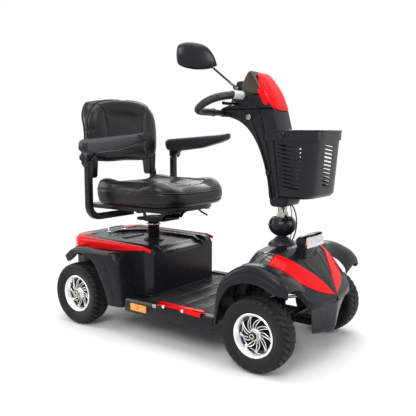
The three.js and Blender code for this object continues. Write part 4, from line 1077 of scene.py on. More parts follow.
# ---- Wheels ----
def tyre_mesh(radius, half_width, rim_radius):
    """A tyre round +Y, outboard towards +Y, with slanted shoulder blocks and a zigzag middle groove."""
    s = sizes()
    profile = [
        (rim_radius, -0.030), (0.084, -0.0365), (0.095, -0.0410), (0.104, -half_width + 0.0008), (0.111, -half_width),
        (0.117, -0.0425), (0.1215, -0.0385), (0.1252, -0.0330),
    ]
    crown = [
        (radius - 0.0030 * (abs(y) / 0.030) ** 2.2, y)
        for y in [(-0.0300 + 0.0015 * i) for i in range(41)]
    ]
    section = profile + crown + [(r, -y) for r, y in reversed(profile)]
    section += [(rim_radius - 0.002, 0.029), (rim_radius - 0.002, -0.029)]
    obj = turned("tyre", section, steps=272, axis=(0, 0, 1))
    blocks, depth = s.tread_blocks, s.tread
    for v in obj.data.vertices:
        r, y = math.hypot(v.co.x, v.co.y), v.co.z
        if r < 0.1165:
            bead = 0.0006 * (1 - ease(0.0, 0.0012, abs(r - 0.0985))) + 0.0005 * (1 - ease(0.0, 0.001, abs(r - 0.090)))
            v.co.z += math.copysign(bead, y)
            continue
        turn = math.atan2(v.co.y, v.co.x) / math.tau * blocks
        slant = 24.0 * abs(y) + (0.5 if y > 0 else 0.0)
        phase = (turn + slant) % 1
        zig = abs(turn % 1 - 0.5) * 2
        shoulder = ease(0.0135, 0.0155, abs(y))
        groove = shoulder * (1 - ease(0.10, 0.17, min(phase, 1 - phase)))
        ring_groove = max(
            1 - ease(0.0008, 0.0020, abs(abs(y) - (0.0105 + 0.004 * zig))),
            0.8 * (1 - ease(0.0006, 0.0016, abs(y - 0.0025 * (zig - 0.5)))),
        )
        sipe = 0.5 * (1 - shoulder) * (1 - ease(0.03, 0.07, abs(((turn * 2 + 30 * y) % 1) - 0.5)))
        sunk = depth * max(groove * ease(0.1165, 0.1195, r), ring_groove, sipe)
        v.co.x *= (r - sunk) / r
        v.co.y *= (r - sunk) / r
    return smooth(obj, 30)


def rim_meshes(radius, steps=96):
    """The bright rim, its twin swirled spokes and the inner dish with its webs, painted near-black as the shade
    behind the spokes, all round +Z as the outboard side.
    """
    lip = turned("rim_lip", [
        (0.0620, -0.030), (0.0765, -0.030), (radius, -0.0285), (radius, 0.0300), (0.0765, 0.0335), (0.0745, 0.0350),
        (0.0715, 0.0350), (0.0690, 0.0330), (0.0670, 0.0290), (0.0640, 0.0225), (0.0618, 0.0180), (0.0608, 0.0120),
        (0.0608, 0.0040), (0.0595, 0.0030), (0.0595, -0.029),
    ], steps)
    smooth(lip, 35)
    spokes, webs = [], []
    count = sizes().spokes
    for i in range(count):
        for gap in (-1, 1):
            start = math.tau * i / count
            path, widths = [], []
            for k in range(8):
                t = k / 7
                r = 0.0190 + (0.0622 - 0.0190) * t
                a = start + 0.62 * t ** 1.15 + gap * (0.0028 + 0.0030 * math.sin(math.pi * min(t * 1.2, 1))) / r
                path.append((r * math.cos(a), r * math.sin(a), 0.0165 - 0.006 * t + 0.0030 * math.sin(math.pi * t)))
                widths.append(0.85 + 0.3 * t)
            spokes.append(tube("spoke", path, 0.0015, facets=2, fineness=4, taper=widths))
        web = []
        for k in range(8):
            t = k / 7
            r = 0.0200 + (0.0615 - 0.0200) * t
            a = start + 0.62 * t ** 1.15
            web.append((r * math.cos(a), r * math.sin(a), 0.0135 - 0.006 * t + 0.0030 * math.sin(math.pi * t)))
        webs.append(tube("web", web, 0.0031, facets=2, fineness=4))
    cup = turned("hub_cup", [
        (0.0104, -0.030), (0.0240, -0.030), (0.0240, 0.0070), (0.0225, 0.0130), (0.0205, 0.0185), (0.0180, 0.0210),
        (0.0170, 0.0270), (0.0155, 0.0295), (0.0104, 0.0298),
    ], 48)
    bright = joined("rim", lip, smooth(cup, 35), *spokes)
    # The dish and the webs are real parts; their near-black colour is painted shade, seen through the spoke openings.
    floor_ = smooth(turned("dish",
                           [(0.0242, -0.020), (0.0590, -0.020), (0.0590, -0.008), (0.0400, -0.002), (0.0242, 0.002)],
                           steps), 40)
    return bright, joined("dish", floor_, *webs)


class SCOOTER_OT_wheels(bpy.types.Operator):
    """Four tyres with tread, four rims with swirled spokes, their inner dishes painted near-black as shade, and brass
    hub nuts
    """

    bl_idname = "scooter.wheels"
    bl_label = "Wheels"

    def execute(self, context):
        low, high = span("tyre_front_left")
        radius = (high.z - low.z) / 2 - 0.0003
        tyre = tyre_mesh(radius, 0.0438, 0.0772)
        bright, dish = rim_meshes(0.0768)
        hub = self.nut()
        upright = Matrix.Rotation(-math.pi / 2, 4, "X")
        for end in ("front", "rear"):
            for name, side in SIDES:
                centre = middle(f"tyre_{end}_{name}")
                turn = Matrix.Rotation(0.5 * side + (0.35 if end == "rear" else 0.1), 4, "Y")
                place = Matrix.Translation(centre) @ turn @ upright
                if side < 0:
                    place = Matrix.Translation(centre) @ turn @ MIRROR_Y @ upright
                body = f"wheel_{end}_{name}"
                give(copied(tyre, f"tyre_{end}_{name}_tread", place), body, "tyre_rubber", node=f"tyre_{end}_{name}")
                give(copied(bright, f"rim_{end}_{name}_alloy", place), body, "rim_alloy", node=f"rim_{end}_{name}")
                # The dish takes the near-black painted shade.
                give(copied(dish, f"rim_{end}_{name}_dish", place), body, "painted_shade", "black_steel")
                holder = f"knuckle_{name}" if end == "front" else "chassis"
                # The second part, the nut's centre disc, takes the painted shade.
                for part, look in zip(hub, ("brass_nut", "painted_shade")):
                    give(copied(part, f"{part.name}_{end}_{name}", place), holder, look, "black_steel")
        for obj in (tyre, bright, dish, *hub):
            bpy.data.objects.remove(obj)
        return {"FINISHED"}

    def nut(self):
        """A domed hub nut with a flanged washer and a near-black disc painted as the shade in its centre recess."""
        washer = smooth(turned("washer", [(0.0, 0.0304), (0.0155, 0.0304), (0.0160, 0.0316), (0.0150, 0.0328),
                                          (0.0, 0.0328)], 40), 35)
        six = [(0.0125 * math.cos(math.pi * i / 3), 0.0125 * math.sin(math.pi * i / 3)) for i in range(6)]
        body = smooth(plate("nut", six, "xy", 0.0328, 0.0392, 0.0012), 30)
        rim = smooth(turned("nut_rim", [(0.0050, 0.0390), (0.0096, 0.0390), (0.0088, 0.0402), (0.0060, 0.0404)], 32),
                     35)
        # The centre disc is painted shade for the nut's recess.
        core = smooth(turned("hub_recess_shade", [(0.0, 0.0385), (0.0052, 0.0385), (0.0046, 0.0398), (0.0, 0.0400)], 24),
                      35)
        return joined("hub_nut", washer, body, rim), core


# ---- Tiller ----
COVER_FRONT = ((0.420, 0.545), (0.413, 0.620), (0.405, 0.700), (0.393, 0.770), (0.383, 0.808), (0.367, 0.872))
COVER_REAR = (
    (0.160, 0.8565), (0.211, 0.838), (0.254, 0.804), (0.291, 0.752), (0.318, 0.690), (0.337, 0.620), (0.3455, 0.540),
)
COVER_TOP, COVER_BOTTOM = 0.8845, 0.529
TILT_PIVOT_Z = 0.458


class SCOOTER_OT_tiller(bpy.types.Operator):
    """Tiller housing with its side cheeks, seam strips, plugs, stem, ball cover, boot, bracket and leads"""

    bl_idname = "scooter.tiller"
    bl_label = "Tiller"

    def execute(self, context):
        half = span("tiller_cover")[1].y
        rear = curve(COVER_REAR, 28)
        front = curve(COVER_FRONT, 18)
        outline = front + [(0.363, COVER_TOP), (0.119, COVER_TOP), (0.119, 0.862), (0.128, 0.8575)] + rear
        outline += [(0.352, COVER_BOTTOM + 0.003), (0.362, COVER_BOTTOM), (0.398, COVER_BOTTOM), (0.414, 0.534)]
        core = plate("housing_core", outline, "xz", -half + 0.003, half - 0.003, 0.007, 4)
        smooth(core, 32)
        parts = [core]
        for _, side in SIDES:
            inner = curve(
                ((0.236, 0.874), (0.262, 0.846), (0.290, 0.786), (0.318, 0.716), (0.342, 0.640), (0.357, 0.560)), 20)
            cheek_rear = curve(
                ((0.166, 0.8600), (0.213, 0.8425), (0.2570, 0.8075), (0.2940, 0.7545), (0.3205, 0.6915),
                 (0.3390, 0.6205), (0.3465, 0.5600)), 24)
            cheek = plate("cheek", cheek_rear + list(reversed(inner)), "xz",
                          *sorted((side * (half - 0.006), side * (half + 0.0035))), 0.0045, 4)
            parts.append(smooth(cheek, 32))
            front_cheek = plate(
                "front_cheek",
                curve(((0.308, 0.876), (0.323, 0.810), (0.351, 0.705), (0.375, 0.560)), 14)
                + curve(((0.413, 0.560), (0.408, 0.640), (0.399, 0.720), (0.382, 0.795),
                         (0.361, 0.872)), 14),
                "xz", *sorted((side * (half - 0.006), side * (half + 0.001))), 0.003, 3)
            parts.append(smooth(front_cheek, 32))
        give(joined("tiller_housing", *parts), "tiller", "charcoal_plastic", node="tiller_cover")
        self.fittings(half)
        self.stem()
        return {"FINISHED"}

    def fittings(self, half):
        for name, side in SIDES:
            # seam_shadow is a near-black strip just behind each seam strip, painted as its shadow.
            for part, look, shift, wall in (("seam_strip", "black_plastic", 0.0, 0.0012),
                                            ("seam_shadow", "painted_shade", -0.004, 0.0014)):
                path = [(x + shift, side * (half + 0.0004 + 0.0062 * ease(0.868, 0.885, z)), z) for x, z in through(
                    ((0.276, 0.9310), (0.292, 0.906), (0.303, 0.861), (0.317, 0.808), (0.342, 0.717), (0.361, 0.635),
                     (0.370, 0.565)), 16)]
                strip_ = tube(f"{part}_{name}", path, wall, facets=3)
                give(strip_, "tiller", look, "charcoal_plastic")
            for i, (x, z) in enumerate(((0.256, 0.853), (0.321, 0.833))):
                plug = turned(
                    f"plug_{name}_{i}",
                    [(0.0, 0.0), (0.0105, 0.0), (0.0105, 0.0025), (0.0090, 0.0038), (0.0062, 0.0038),
                     (0.0050, 0.0012), (0.0, 0.0012)], 36, axis=(0, side, 0),
                    at=(x, side * (half + (0.0028 if i == 0 else -0.0032)), z))
                give(smooth(plug, 35), "tiller", "bare_steel" if i == 0 else "black_plastic", "black_steel")
            step = plate(f"side_clip_{name}", [(0.3295, 0.656), (0.3345, 0.6425), (0.3520, 0.6460), (0.3475, 0.6600)],
                         "xz", *sorted((side * (half + 0.0015), side * (half + 0.0045))), 0.0008)
            give(smooth(step, 30), "tiller", "black_plastic")

    def stem(self):
        machined("tiller_tube", "tiller", "bare_steel", "black_steel", 0.001)
        ball_low, ball_high = span("tilt_cover")
        centre = middle("tilt_cover")
        r = (ball_high.x - ball_low.x) / 2
        half_height = r * 44 / 52
        profile = []
        for i in range(25):
            a = math.radians(20.2 + (132 - 20.2) * i / 24)
            profile.append((r * math.sin(a), TILT_PIVOT_Z - half_height * math.cos(a)))
        inner = [((q - 0.0035) if q > 0.022 else q, z) for q, z in reversed(profile)]
        ball = smooth(turned("ball_cover", profile + inner, 72, at=(centre.x, 0, 0)), 35)
        seam = smooth(turned("ball_seam", [(r + 0.0002, TILT_PIVOT_Z - 0.002), (r + 0.0018, TILT_PIVOT_Z - 0.001),
                                           (r + 0.0018, TILT_PIVOT_Z + 0.001), (r + 0.0002, TILT_PIVOT_Z + 0.002)],
                             72, at=(centre.x, 0, 0)), 40)
        give(joined("ball_cover", ball, seam), "steering", "black_plastic", node="tilt_cover")
        low, high = span("steering_boot")
        b = middle("steering_boot")
        rings = [(0.0176, high.z), (0.0230, high.z), (0.0250, high.z - 0.0015)]
        count = 4
        for i in range(count * 6 + 1):
            t = i / (count * 6)
            ridge = 0.0018 * abs(math.sin(math.pi * count * t))
            rings.append((0.0250 + (0.0455 - 0.0250) * t ** 1.3 + ridge,
                          high.z - 0.003 - (high.z - low.z - 0.006) * t))
        rings += [(0.0500, low.z - 0.0020), (0.0520, low.z - 0.0080), (0.0470, low.z - 0.0085),
                  (0.0190, high.z - 0.006), (0.0176, high.z - 0.004)]
        boot = smooth(turned("column_boot", rings, 64, at=(b.x, b.y, 0)), 50)
        give(boot, "chassis", "black_rubber", node="steering_boot")
        machined("steering_column", "steering", "black_steel", "black_steel", 0.001)
        machined("basket_bracket", "tiller", "black_steel", "black_steel", 0.0025)
        route = ((0.4104, 0.0, 0.536), (0.422, 0.0, 0.519), (0.432, 0.0, 0.474), (0.426, 0.0, 0.430),
                 (0.414, 0.0, 0.4008))
        loom = tube("lead_main", route, 0.0024, facets=4, fineness=10)
        twin_route = ((0.4090, -0.0055, 0.535), (0.413, -0.0060, 0.515), (0.417, -0.0065, 0.472),
                      (0.415, -0.006, 0.432), (0.4085, -0.0055, 0.4022))
        second = tube("lead_thin", twin_route, 0.0017, facets=4, fineness=10)
        give(joined("tiller_leads", loom, second), "tiller", "black_rubber", "black_plastic", "tiller_lead")


# Where the dial, key and horn sit on the console: how far up it, and how far to each side.
KNOBS_UP, KNOB_ASIDE = 0.078, 0.034
LEVER_GAP = rectangle(0.120, 0.8985, 0.212, 0.9115)


class SCOOTER_OT_head(bpy.types.Operator):
    """Control head: bronze shell, red shield, console face with its dial, key, horn button and marks"""

    bl_idname = "scooter.head"
    bl_label = "Control head"

    def execute(self, context):
        high = span("tiller_head")[1]
        half = high.y
        brow = curve(((0.2905, 0.9345), (0.3130, 0.9430), (0.3070, 0.9620), (0.2910, 0.9870),
                      (0.2740, 1.0110), (0.2650, 1.0200), (0.2520, 1.0150), (0.2385, 0.9960),
                      (0.2290, 0.9730), (0.2235, 0.9480), (0.2400, 0.9415), (0.2750, 0.9345)), 44)
        shell = plate("head_shell", [(x, z) for x, z in brow[:-1]], "xz", -half, half, 0.0)
        eased(shell, 0.021, 7)
        give(smooth(shell, 50), "tiller", "head_bronze", node="tiller_head")
        neck = [(0.3540, 0.8840), (0.3400, 0.912), (0.3150, 0.9425), (0.2960, 0.9325), (0.2750, 0.9330),
                (0.2390, 0.9400),
                (0.2225, 0.9465), (0.2050, 0.9460), (0.1900, 0.9200), (0.1660, 0.8990), (0.1400, 0.8900),
                (0.1300, 0.8840)]
        collar = plate("head_neck", neck, "xz", -half + 0.0008, half - 0.0008, 0.0)
        eased(collar, 0.014, 5)
        slot = plate("lever_slot", LEVER_GAP, "xz", -0.08, 0.08)
        cut(collar, slot)
        wedge = plate("dash_wedge", [(0.1605, 0.8870), (0.1960, 0.9835), (0.2060, 0.9870), (0.2450, 0.9870),
                                     (0.2450, 0.8870)], "xz", -0.0480, 0.0480, 0.0)
        eased(wedge, 0.008, 5)
        cut(wedge, plate("lever_gap", LEVER_GAP, "xz", -0.08, 0.08))
        give(joined("head_collar", smooth(collar, 45), smooth(wedge, 45)), "tiller", "charcoal_plastic")
        console = self.on_face
        face = plate("console_face",
                     [(-0.040, 0.036), (0.040, 0.036), (0.038, 0.092), (0.028, 0.096), (-0.028, 0.096),
                      (-0.038, 0.092)], "xy", -0.0002, 0.0010, 0.0005)
        face.data.transform(console(0, 0, 0))
        give(smooth(face, 35), "tiller", "black_plastic")
        self.controls(console)
        self.shield()
        for name, side in SIDES:
            line = tube("brow_line_" + name, [(x, side * (half + 0.0002), z) for x, z in (
                (0.2235, 0.9470), (0.2400, 0.9405), (0.2580, 0.9365), (0.2760, 0.9335))], 0.0012, facets=3)
            give(line, "tiller", "head_bronze")
            holder = turned(
                "bar_collar_" + name,
                [(0.0137, 0.0), (0.0200, 0.0), (0.0195, 0.006), (0.0170, 0.0085), (0.0137, 0.0090)],
                48, axis=(0, side, 0), at=(0.228, side * 0.0520, 0.933))
            give(smooth(holder, 40), "tiller", "black_plastic")
        return {"FINISHED"}

    def on_face(self, up, y, out):
        """Places a thing on the console: its X lies across the face, its Y up it and its Z out of it."""
        rear_low, rear_high = Vector((0.160, 0, 0.885)), Vector((0.196, 0, 0.985))
        rise = (rear_high - rear_low).normalized()
        normal = Vector((-rise.z, 0, rise.x))
        across = Vector((0, -1, 0))
        origin = rear_low + rise * up + normal * out + Vector((0, y, 0))
        turn = Matrix((across, rise, normal)).transposed().to_4x4()
        return Matrix.Translation(origin) @ turn

    def controls(self, console):
        dial = smooth(turned("dial_knob", [
            (0.0, 0.0005), (0.0150, 0.0005), (0.0150, 0.0030), (0.0128, 0.0045), (0.0124, 0.0120), (0.0108, 0.0135),
            (0.0, 0.0138)], 48), 35)
        marks = []
        for i in range(18):
            a = math.tau * i / 18
            ridge = plate("dial_ridge", rectangle(-0.0006, 0.0122, 0.0006, 0.0134), "xy",
                          0.0042, 0.0122, 0.0003, 1)
            ridge.data.transform(Matrix.Rotation(a, 4, "Z"))
            marks.append(ridge)
        knob = joined("speed_knob", dial, *marks)
        knob.data.transform(console(KNOBS_UP, 0, 0))
        give(knob, "dial", "black_plastic", node="speed_dial")
        line = plate("dial_pointer", rectangle(-0.0008, 0.003, 0.0008, 0.0105), "xy",
                     0.0137, 0.0142)
        line.data.transform(console(KNOBS_UP, 0, 0))
        give(line, "dial", "dial_white", "black_plastic")
        scale = []
        for i in range(9):
            a = math.radians(-135 + 270 * i / 8)
            length = 0.0016 + 0.0026 * i / 8
            tick = plate("tick", rectangle(-0.0005, 0.0170, 0.0005, 0.0170 + length),
                         "xy", 0.0010, 0.0013)
            tick.data.transform(console(KNOBS_UP, 0, 0) @ Matrix.Rotation(-a, 4, "Z"))
            scale.append(tick)
        give(joined("dial_scale", *scale), "tiller", "dial_white", "black_plastic")
        key_ring = smooth(turned("key_ring", [(0.0056, 0.0008), (0.0090, 0.0008), (0.0086, 0.0026), (0.0056, 0.0030)],
                                 36), 35)
        key_ring.data.transform(console(KNOBS_UP, -KNOB_ASIDE, 0))
        give(key_ring, "tiller", "chrome")
        bow = [(0.0068 * math.cos(math.pi * i / 8), 0.016 + 0.0068 * math.sin(math.pi * i / 8)) for i in range(16)]
        key = smooth(plate("key_bow", bow, "xz", -0.0010, 0.0010, 0.0004), 35)
        shank = smooth(turned("key_shank",
                              [(0.0, 0.0006), (0.0046, 0.0006), (0.0046, 0.0050), (0.0024, 0.0064), (0.0024, 0.0100),
                               (0.0, 0.0100)], 24), 35)
        piece = joined("ignition_key_cut", key, shank)
        piece.data.transform(console(KNOBS_UP, -KNOB_ASIDE, 0))
        give(piece, "key", "chrome", node="ignition_key")
        cap = smooth(turned("horn_cap",
                            [(0.0, -0.006), (0.0078, -0.006), (0.0078, 0.0042), (0.0070, 0.0050), (0.0, 0.0056)], 36),
                     35)
        cap.data.transform(console(KNOBS_UP, KNOB_ASIDE, 0))
        give(cap, "horn", "red_gloss", node="horn_button")
        bezel = smooth(turned("horn_bezel", [(0.0083, 0.0008), (0.0105, 0.0008), (0.0102, 0.0024), (0.0083, 0.0028)],
                              36), 35)
        bezel.data.transform(console(KNOBS_UP, KNOB_ASIDE, 0))
        give(bezel, "tiller", "chrome")
        gauge = []
        for i in range(10):
            w = 0.0042
            x0 = -0.0255 + i * 0.0051
            gauge.append(plate("gauge_bar", rectangle(x0, 0.045, x0 + w, 0.050), "xy", 0.0008, 0.0014, 0.0003, 1))
        bars = joined("charge_gauge", *gauge)
        bars.data.transform(console(0, 0, 0))
        give(bars, "tiller", "amber_lens")

    def shield(self):
        """A long red panel over the head's brow, rounded at the top and drawn in towards its foot."""
        spine = curve(((0.3660, 0.8740), (0.3560, 0.9030), (0.3370, 0.9420), (0.3085, 0.9830),
                       (0.2800, 1.0125)), 40)
        def shape(u, v):
            p = along(spine, v)
            q = along(spine, min(v + 0.02, 1)) - along(spine, max(v - 0.02, 0))
            out = Vector((q[1], -q[0])).normalized()
            full = math.sin(math.pi * (0.035 + 0.935 * v ** 0.92))
            w = 0.0180 + 0.0430 * full ** 0.5
            back = 0.006 + 0.034 * ease(0.040, 0.0612, w) ** 1.5
            t = 2 * u - 1
            a = abs(t) * math.pi / 2
            across = w * math.sin(a) ** 0.5
            lift = 0.0060 - back * (1 - max(math.cos(a), 0) ** 0.5) - 0.003 * ease(0.95, 1.0, v)
            return (p[0] + out.x * lift, math.copysign(across, t), p[1] + out.y * lift)

        panel = sheet("shield_panel", 60, 60, shape)
        edited(panel, merge, outwards)
        applied(panel, "SOLIDIFY", thickness=0.0040, offset=-1)
        eased(panel, 0.0014, 3, angle=50)
        give(smooth(panel, 40), "tiller", "red_gloss", node="tiller_shield")


class SCOOTER_OT_handlebar(bpy.types.Operator):
    """Looped handlebar with foam grips, chrome ferrules given flat white as a painted reflection, the throttle lever
    and its paddles
    """

    bl_idname = "scooter.handlebar"
    bl_label = "Handlebar"

    def execute(self, context):
        grip_x, grip_z = 0.228, 0.933
        bar_x, bar_z = 0.134, 0.872
        parts = []
        for name, side in SIDES:
            loop = [(grip_x, 0.088, grip_z), (0.2275, 0.105, 0.9322), (0.224, 0.135, 0.929), (0.2165, 0.167, 0.924),
                    (0.203, 0.196, 0.916), (0.1830, 0.2150, 0.9035), (0.1610, 0.2195, 0.8895),
                    (0.1450, 0.2130, 0.8795), (0.1370, 0.196, 0.8738), (bar_x, 0.170, bar_z), (bar_x, 0.140, bar_z),
                    (bar_x, 0.110, bar_z)]
            path = [(x, side * y, z) for x, y, z in loop]
            radii = [0.96, 1.0, 1.04, 1.05, 1.04, 1.0, 0.98, 0.97, 0.97, 0.97, 0.97, 0.96]
            parts.append(tube("grip", path, 0.0138, facets=10, fineness=10, taper=radii))
            parts.append(tube("bar_end", [(bar_x, side * 0.1105, bar_z), (bar_x, side * 0.080, bar_z),
                                          (bar_x, side * 0.0535, bar_z)], 0.0118, facets=8, fineness=2))
            collar = turned("grip_end", [(0.0130, 0), (0.0150, 0), (0.0150, 0.006), (0.0130, 0.007)], 40,
                            axis=(0, side, 0), at=(bar_x, side * 0.105, bar_z))
            parts.append(smooth(collar, 40))
            # The chrome ferrules are painted flat white in place of their bright reflection.
            ferrule = turned(
                "ferrule_" + name,
                [(0.0128, 0.0), (0.0150, 0.0), (0.0156, 0.0020), (0.0151, 0.0040), (0.0151, 0.0560), (0.0158, 0.0585),
                 (0.0151, 0.0610), (0.0128, 0.0610)],
                48, axis=(0, side, 0), at=(grip_x, side * 0.0605, grip_z))
            give(smooth(ferrule, 35), "tiller", "dial_white", "chrome")
        give(joined("handlebar_loop", *parts), "tiller", "grip_foam", node="handle_loop")
        self.throttle()
        return {"FINISHED"}

    def throttle(self):
        low, high = span("throttle_lever")
        c = middle("throttle_lever")
        z = high.z - 0.006
        half = high.y
        rod_ = tube("throttle_rod",
                    [(c.x, y, z) for y in (-half + 0.004, -half * 0.5, 0, half * 0.5, half - 0.004)],
                    0.0052, facets=6, fineness=3)
        pivot = smooth(turned("throttle_pivot", rectangle(0.0, low.z + 0.001, 0.0058, z), 24,
                              at=(c.x, 0, 0)), 35)
        parts = [rod_, pivot]
        for _, side in SIDES:
            def paddle(u, v, side=side):
                y = 0.066 + (half - 0.004 - 0.066) * u
                width = 0.0070 + 0.0050 * math.sin(math.pi * min(u * 1.1, 1)) - 0.003 * ease(0.85, 1.0, u)
                a = math.tau * v
                return (c.x - 0.001 + width * math.cos(a), side * y, z + 0.0062 * math.sin(a) - 0.001)

            blade = sheet("paddle", 20, 24, paddle)
            only(blade)
            edited(blade, merge)
            close_ends(blade)
            parts.append(smooth(blade, 50))
        give(joined("throttle_paddles", *parts), "throttle", "black_plastic", node="throttle_lever")


def close_ends(obj):
    """Fills each open edge loop with one face."""
    only(obj)
    bpy.ops.object.mode_set(mode="EDIT")
    bpy.ops.mesh.select_mode(type="EDGE")
    bpy.ops.mesh.select_all(action="DESELECT")
    bpy.ops.mesh.select_non_manifold(extend=False)
    bpy.ops.mesh.fill_holes(sides=0)
    bpy.ops.mesh.select_all(action="SELECT")
    outwards()
    bpy.ops.mesh.select_mode(type="VERT")
    bpy.ops.object.mode_set(mode="OBJECT")
    return obj


class SCOOTER_OT_mirror(bpy.types.Operator):
    """Mirror: teardrop shell, silvered glass and a chrome stem with its threaded sleeve"""

    bl_idname = "scooter.mirror"
    bl_label = "Mirror"

    def execute(self, context):
        turn = Matrix.Rotation(math.radians(-30), 4, "Z")
        at = Matrix.Translation((0.160, -0.240, 1.058))
        place = at @ turn
        # Half widths up and down of the teardrop at each place along it, from the outer end to the stem.
        outline = (
            (-0.0745, 0.0, 0.0), (-0.0715, 0.026, -0.0240), (-0.0600, 0.0385, -0.0350), (-0.0360, 0.0450, -0.0420),
            (-0.005, 0.0452, -0.0452), (0.0240, 0.0400, -0.0440), (0.0460, 0.0260, -0.0405),
            (0.0620, 0.0060, -0.0340), (0.0705, -0.0130, -0.0310), (0.0740, -0.0240, -0.0290),
        )

        def shell(u, v):
            y, up, down = along(outline, u)
            a = math.pi * (v * 2 - 1)
            centre, half = (up + down) / 2, (up - down) / 2
            bulge = 0.0245 * (max(1 - (y / 0.078) ** 2, 0)) ** 0.5
            front = max(math.cos(a), 0) ** 0.7 * bulge
            rim = -0.003 if math.cos(a) < 0 else 0.0
            return (front + rim * abs(math.cos(a)) ** 0.5, y, centre + half * math.sin(a))

        body = sheet("mirror_housing", 60, 64, shell)
        edited(body, merge, outwards)
        body.data.transform(place)
        smooth(body, 50)
        boss = tube("mirror_neck", [place @ Vector((0.009, 0.058, -0.0355)), place @ Vector((0.009, 0.046, -0.0290)),
                                    place @ Vector((0.009, 0.034, -0.021))], 0.0068, facets=6, taper=[0.85, 1, 1.2])
        give(joined("mirror_casing", body, boss), "mirror", "black_plastic", node="mirror_shell")

        def glass(u, v):
            y, up, down = along(outline, 0.03 + 0.93 * u)
            centre, half = (up + down) / 2, (up - down) / 2
            t = 2 * v - 1
            return (-0.0036, y * 0.965, centre + half * 0.93 * t)

        pane = sheet("mirror_pane", 50, 30, glass)
        edited(pane, merge, outwards)
        applied(pane, "SOLIDIFY", thickness=0.0014, offset=0)
        pane.data.transform(place)
        give(smooth(pane, 30), "mirror", "mirror_glass", node="mirror_glass")
        foot, elbow = (0.208, -0.062, 0.955), Vector((0.208, -0.084, 0.968))
        neck = place @ Vector((0.009, 0.0600, -0.0380))
        towards = (place @ Vector((0.009, 0.030, -0.018)) - neck).normalized()
        straight = [elbow.lerp(neck, k) for k in (0.12, 0.4, 0.7, 0.94)]
        path = [foot, (0.208, -0.071, 0.9575), elbow, *straight, neck - towards * 0.003]
        stem = tube("mirror_stem", path, 0.0042, facets=7, fineness=12)
        thread = []
        start, end = elbow.lerp(neck, 0.06), elbow.lerp(neck, 0.20)
        direction = (end - start).normalized()
        for i in range(7):
            thread.append(turned("thread", [(0.0030, -0.0009), (0.0042, -0.0005), (0.0046, 0.0), (0.0042, 0.0005),
                                            (0.0030, 0.0009)], 20, axis=direction, at=start.lerp(end, i / 6)))
        nut_ = turned("stem_nut", rectangle(0.0030, -0.004, 0.0078, 0.004), 6,
                      axis=(0, -0.9, 0.42), at=(0.208, -0.076, 0.9625))
        boot = smooth(turned("stem_foot",
                             [(0.0, 0.0), (0.0095, 0.0), (0.0095, 0.004), (0.0080, 0.010), (0.0060, 0.013),
                              (0.0, 0.013)],
                             36, axis=(0, -1, 0), at=(0.208, -0.0583, 0.955)), 40)
        stem_all = joined("mirror_stem_rod", stem, smooth(joined("threads", *thread), 40), smooth(nut_, 30), boot)
        give(stem_all, "tiller", "dark_chrome", "chrome", "mirror_arm")
        return {"FINISHED"}


# ---- Basket ----
SLOT_ROWS, SLOT_PITCH = 11, 0.0138
BASKET_BACK = 0.412
BASKET_TOP_RING = ((0.0, 0.160), (0.112, 0.148), (0.147, 0.0))
BASKET_FOOT_RING = ((0.014, 0.128), (0.096, 0.126), (0.127, 0.0))


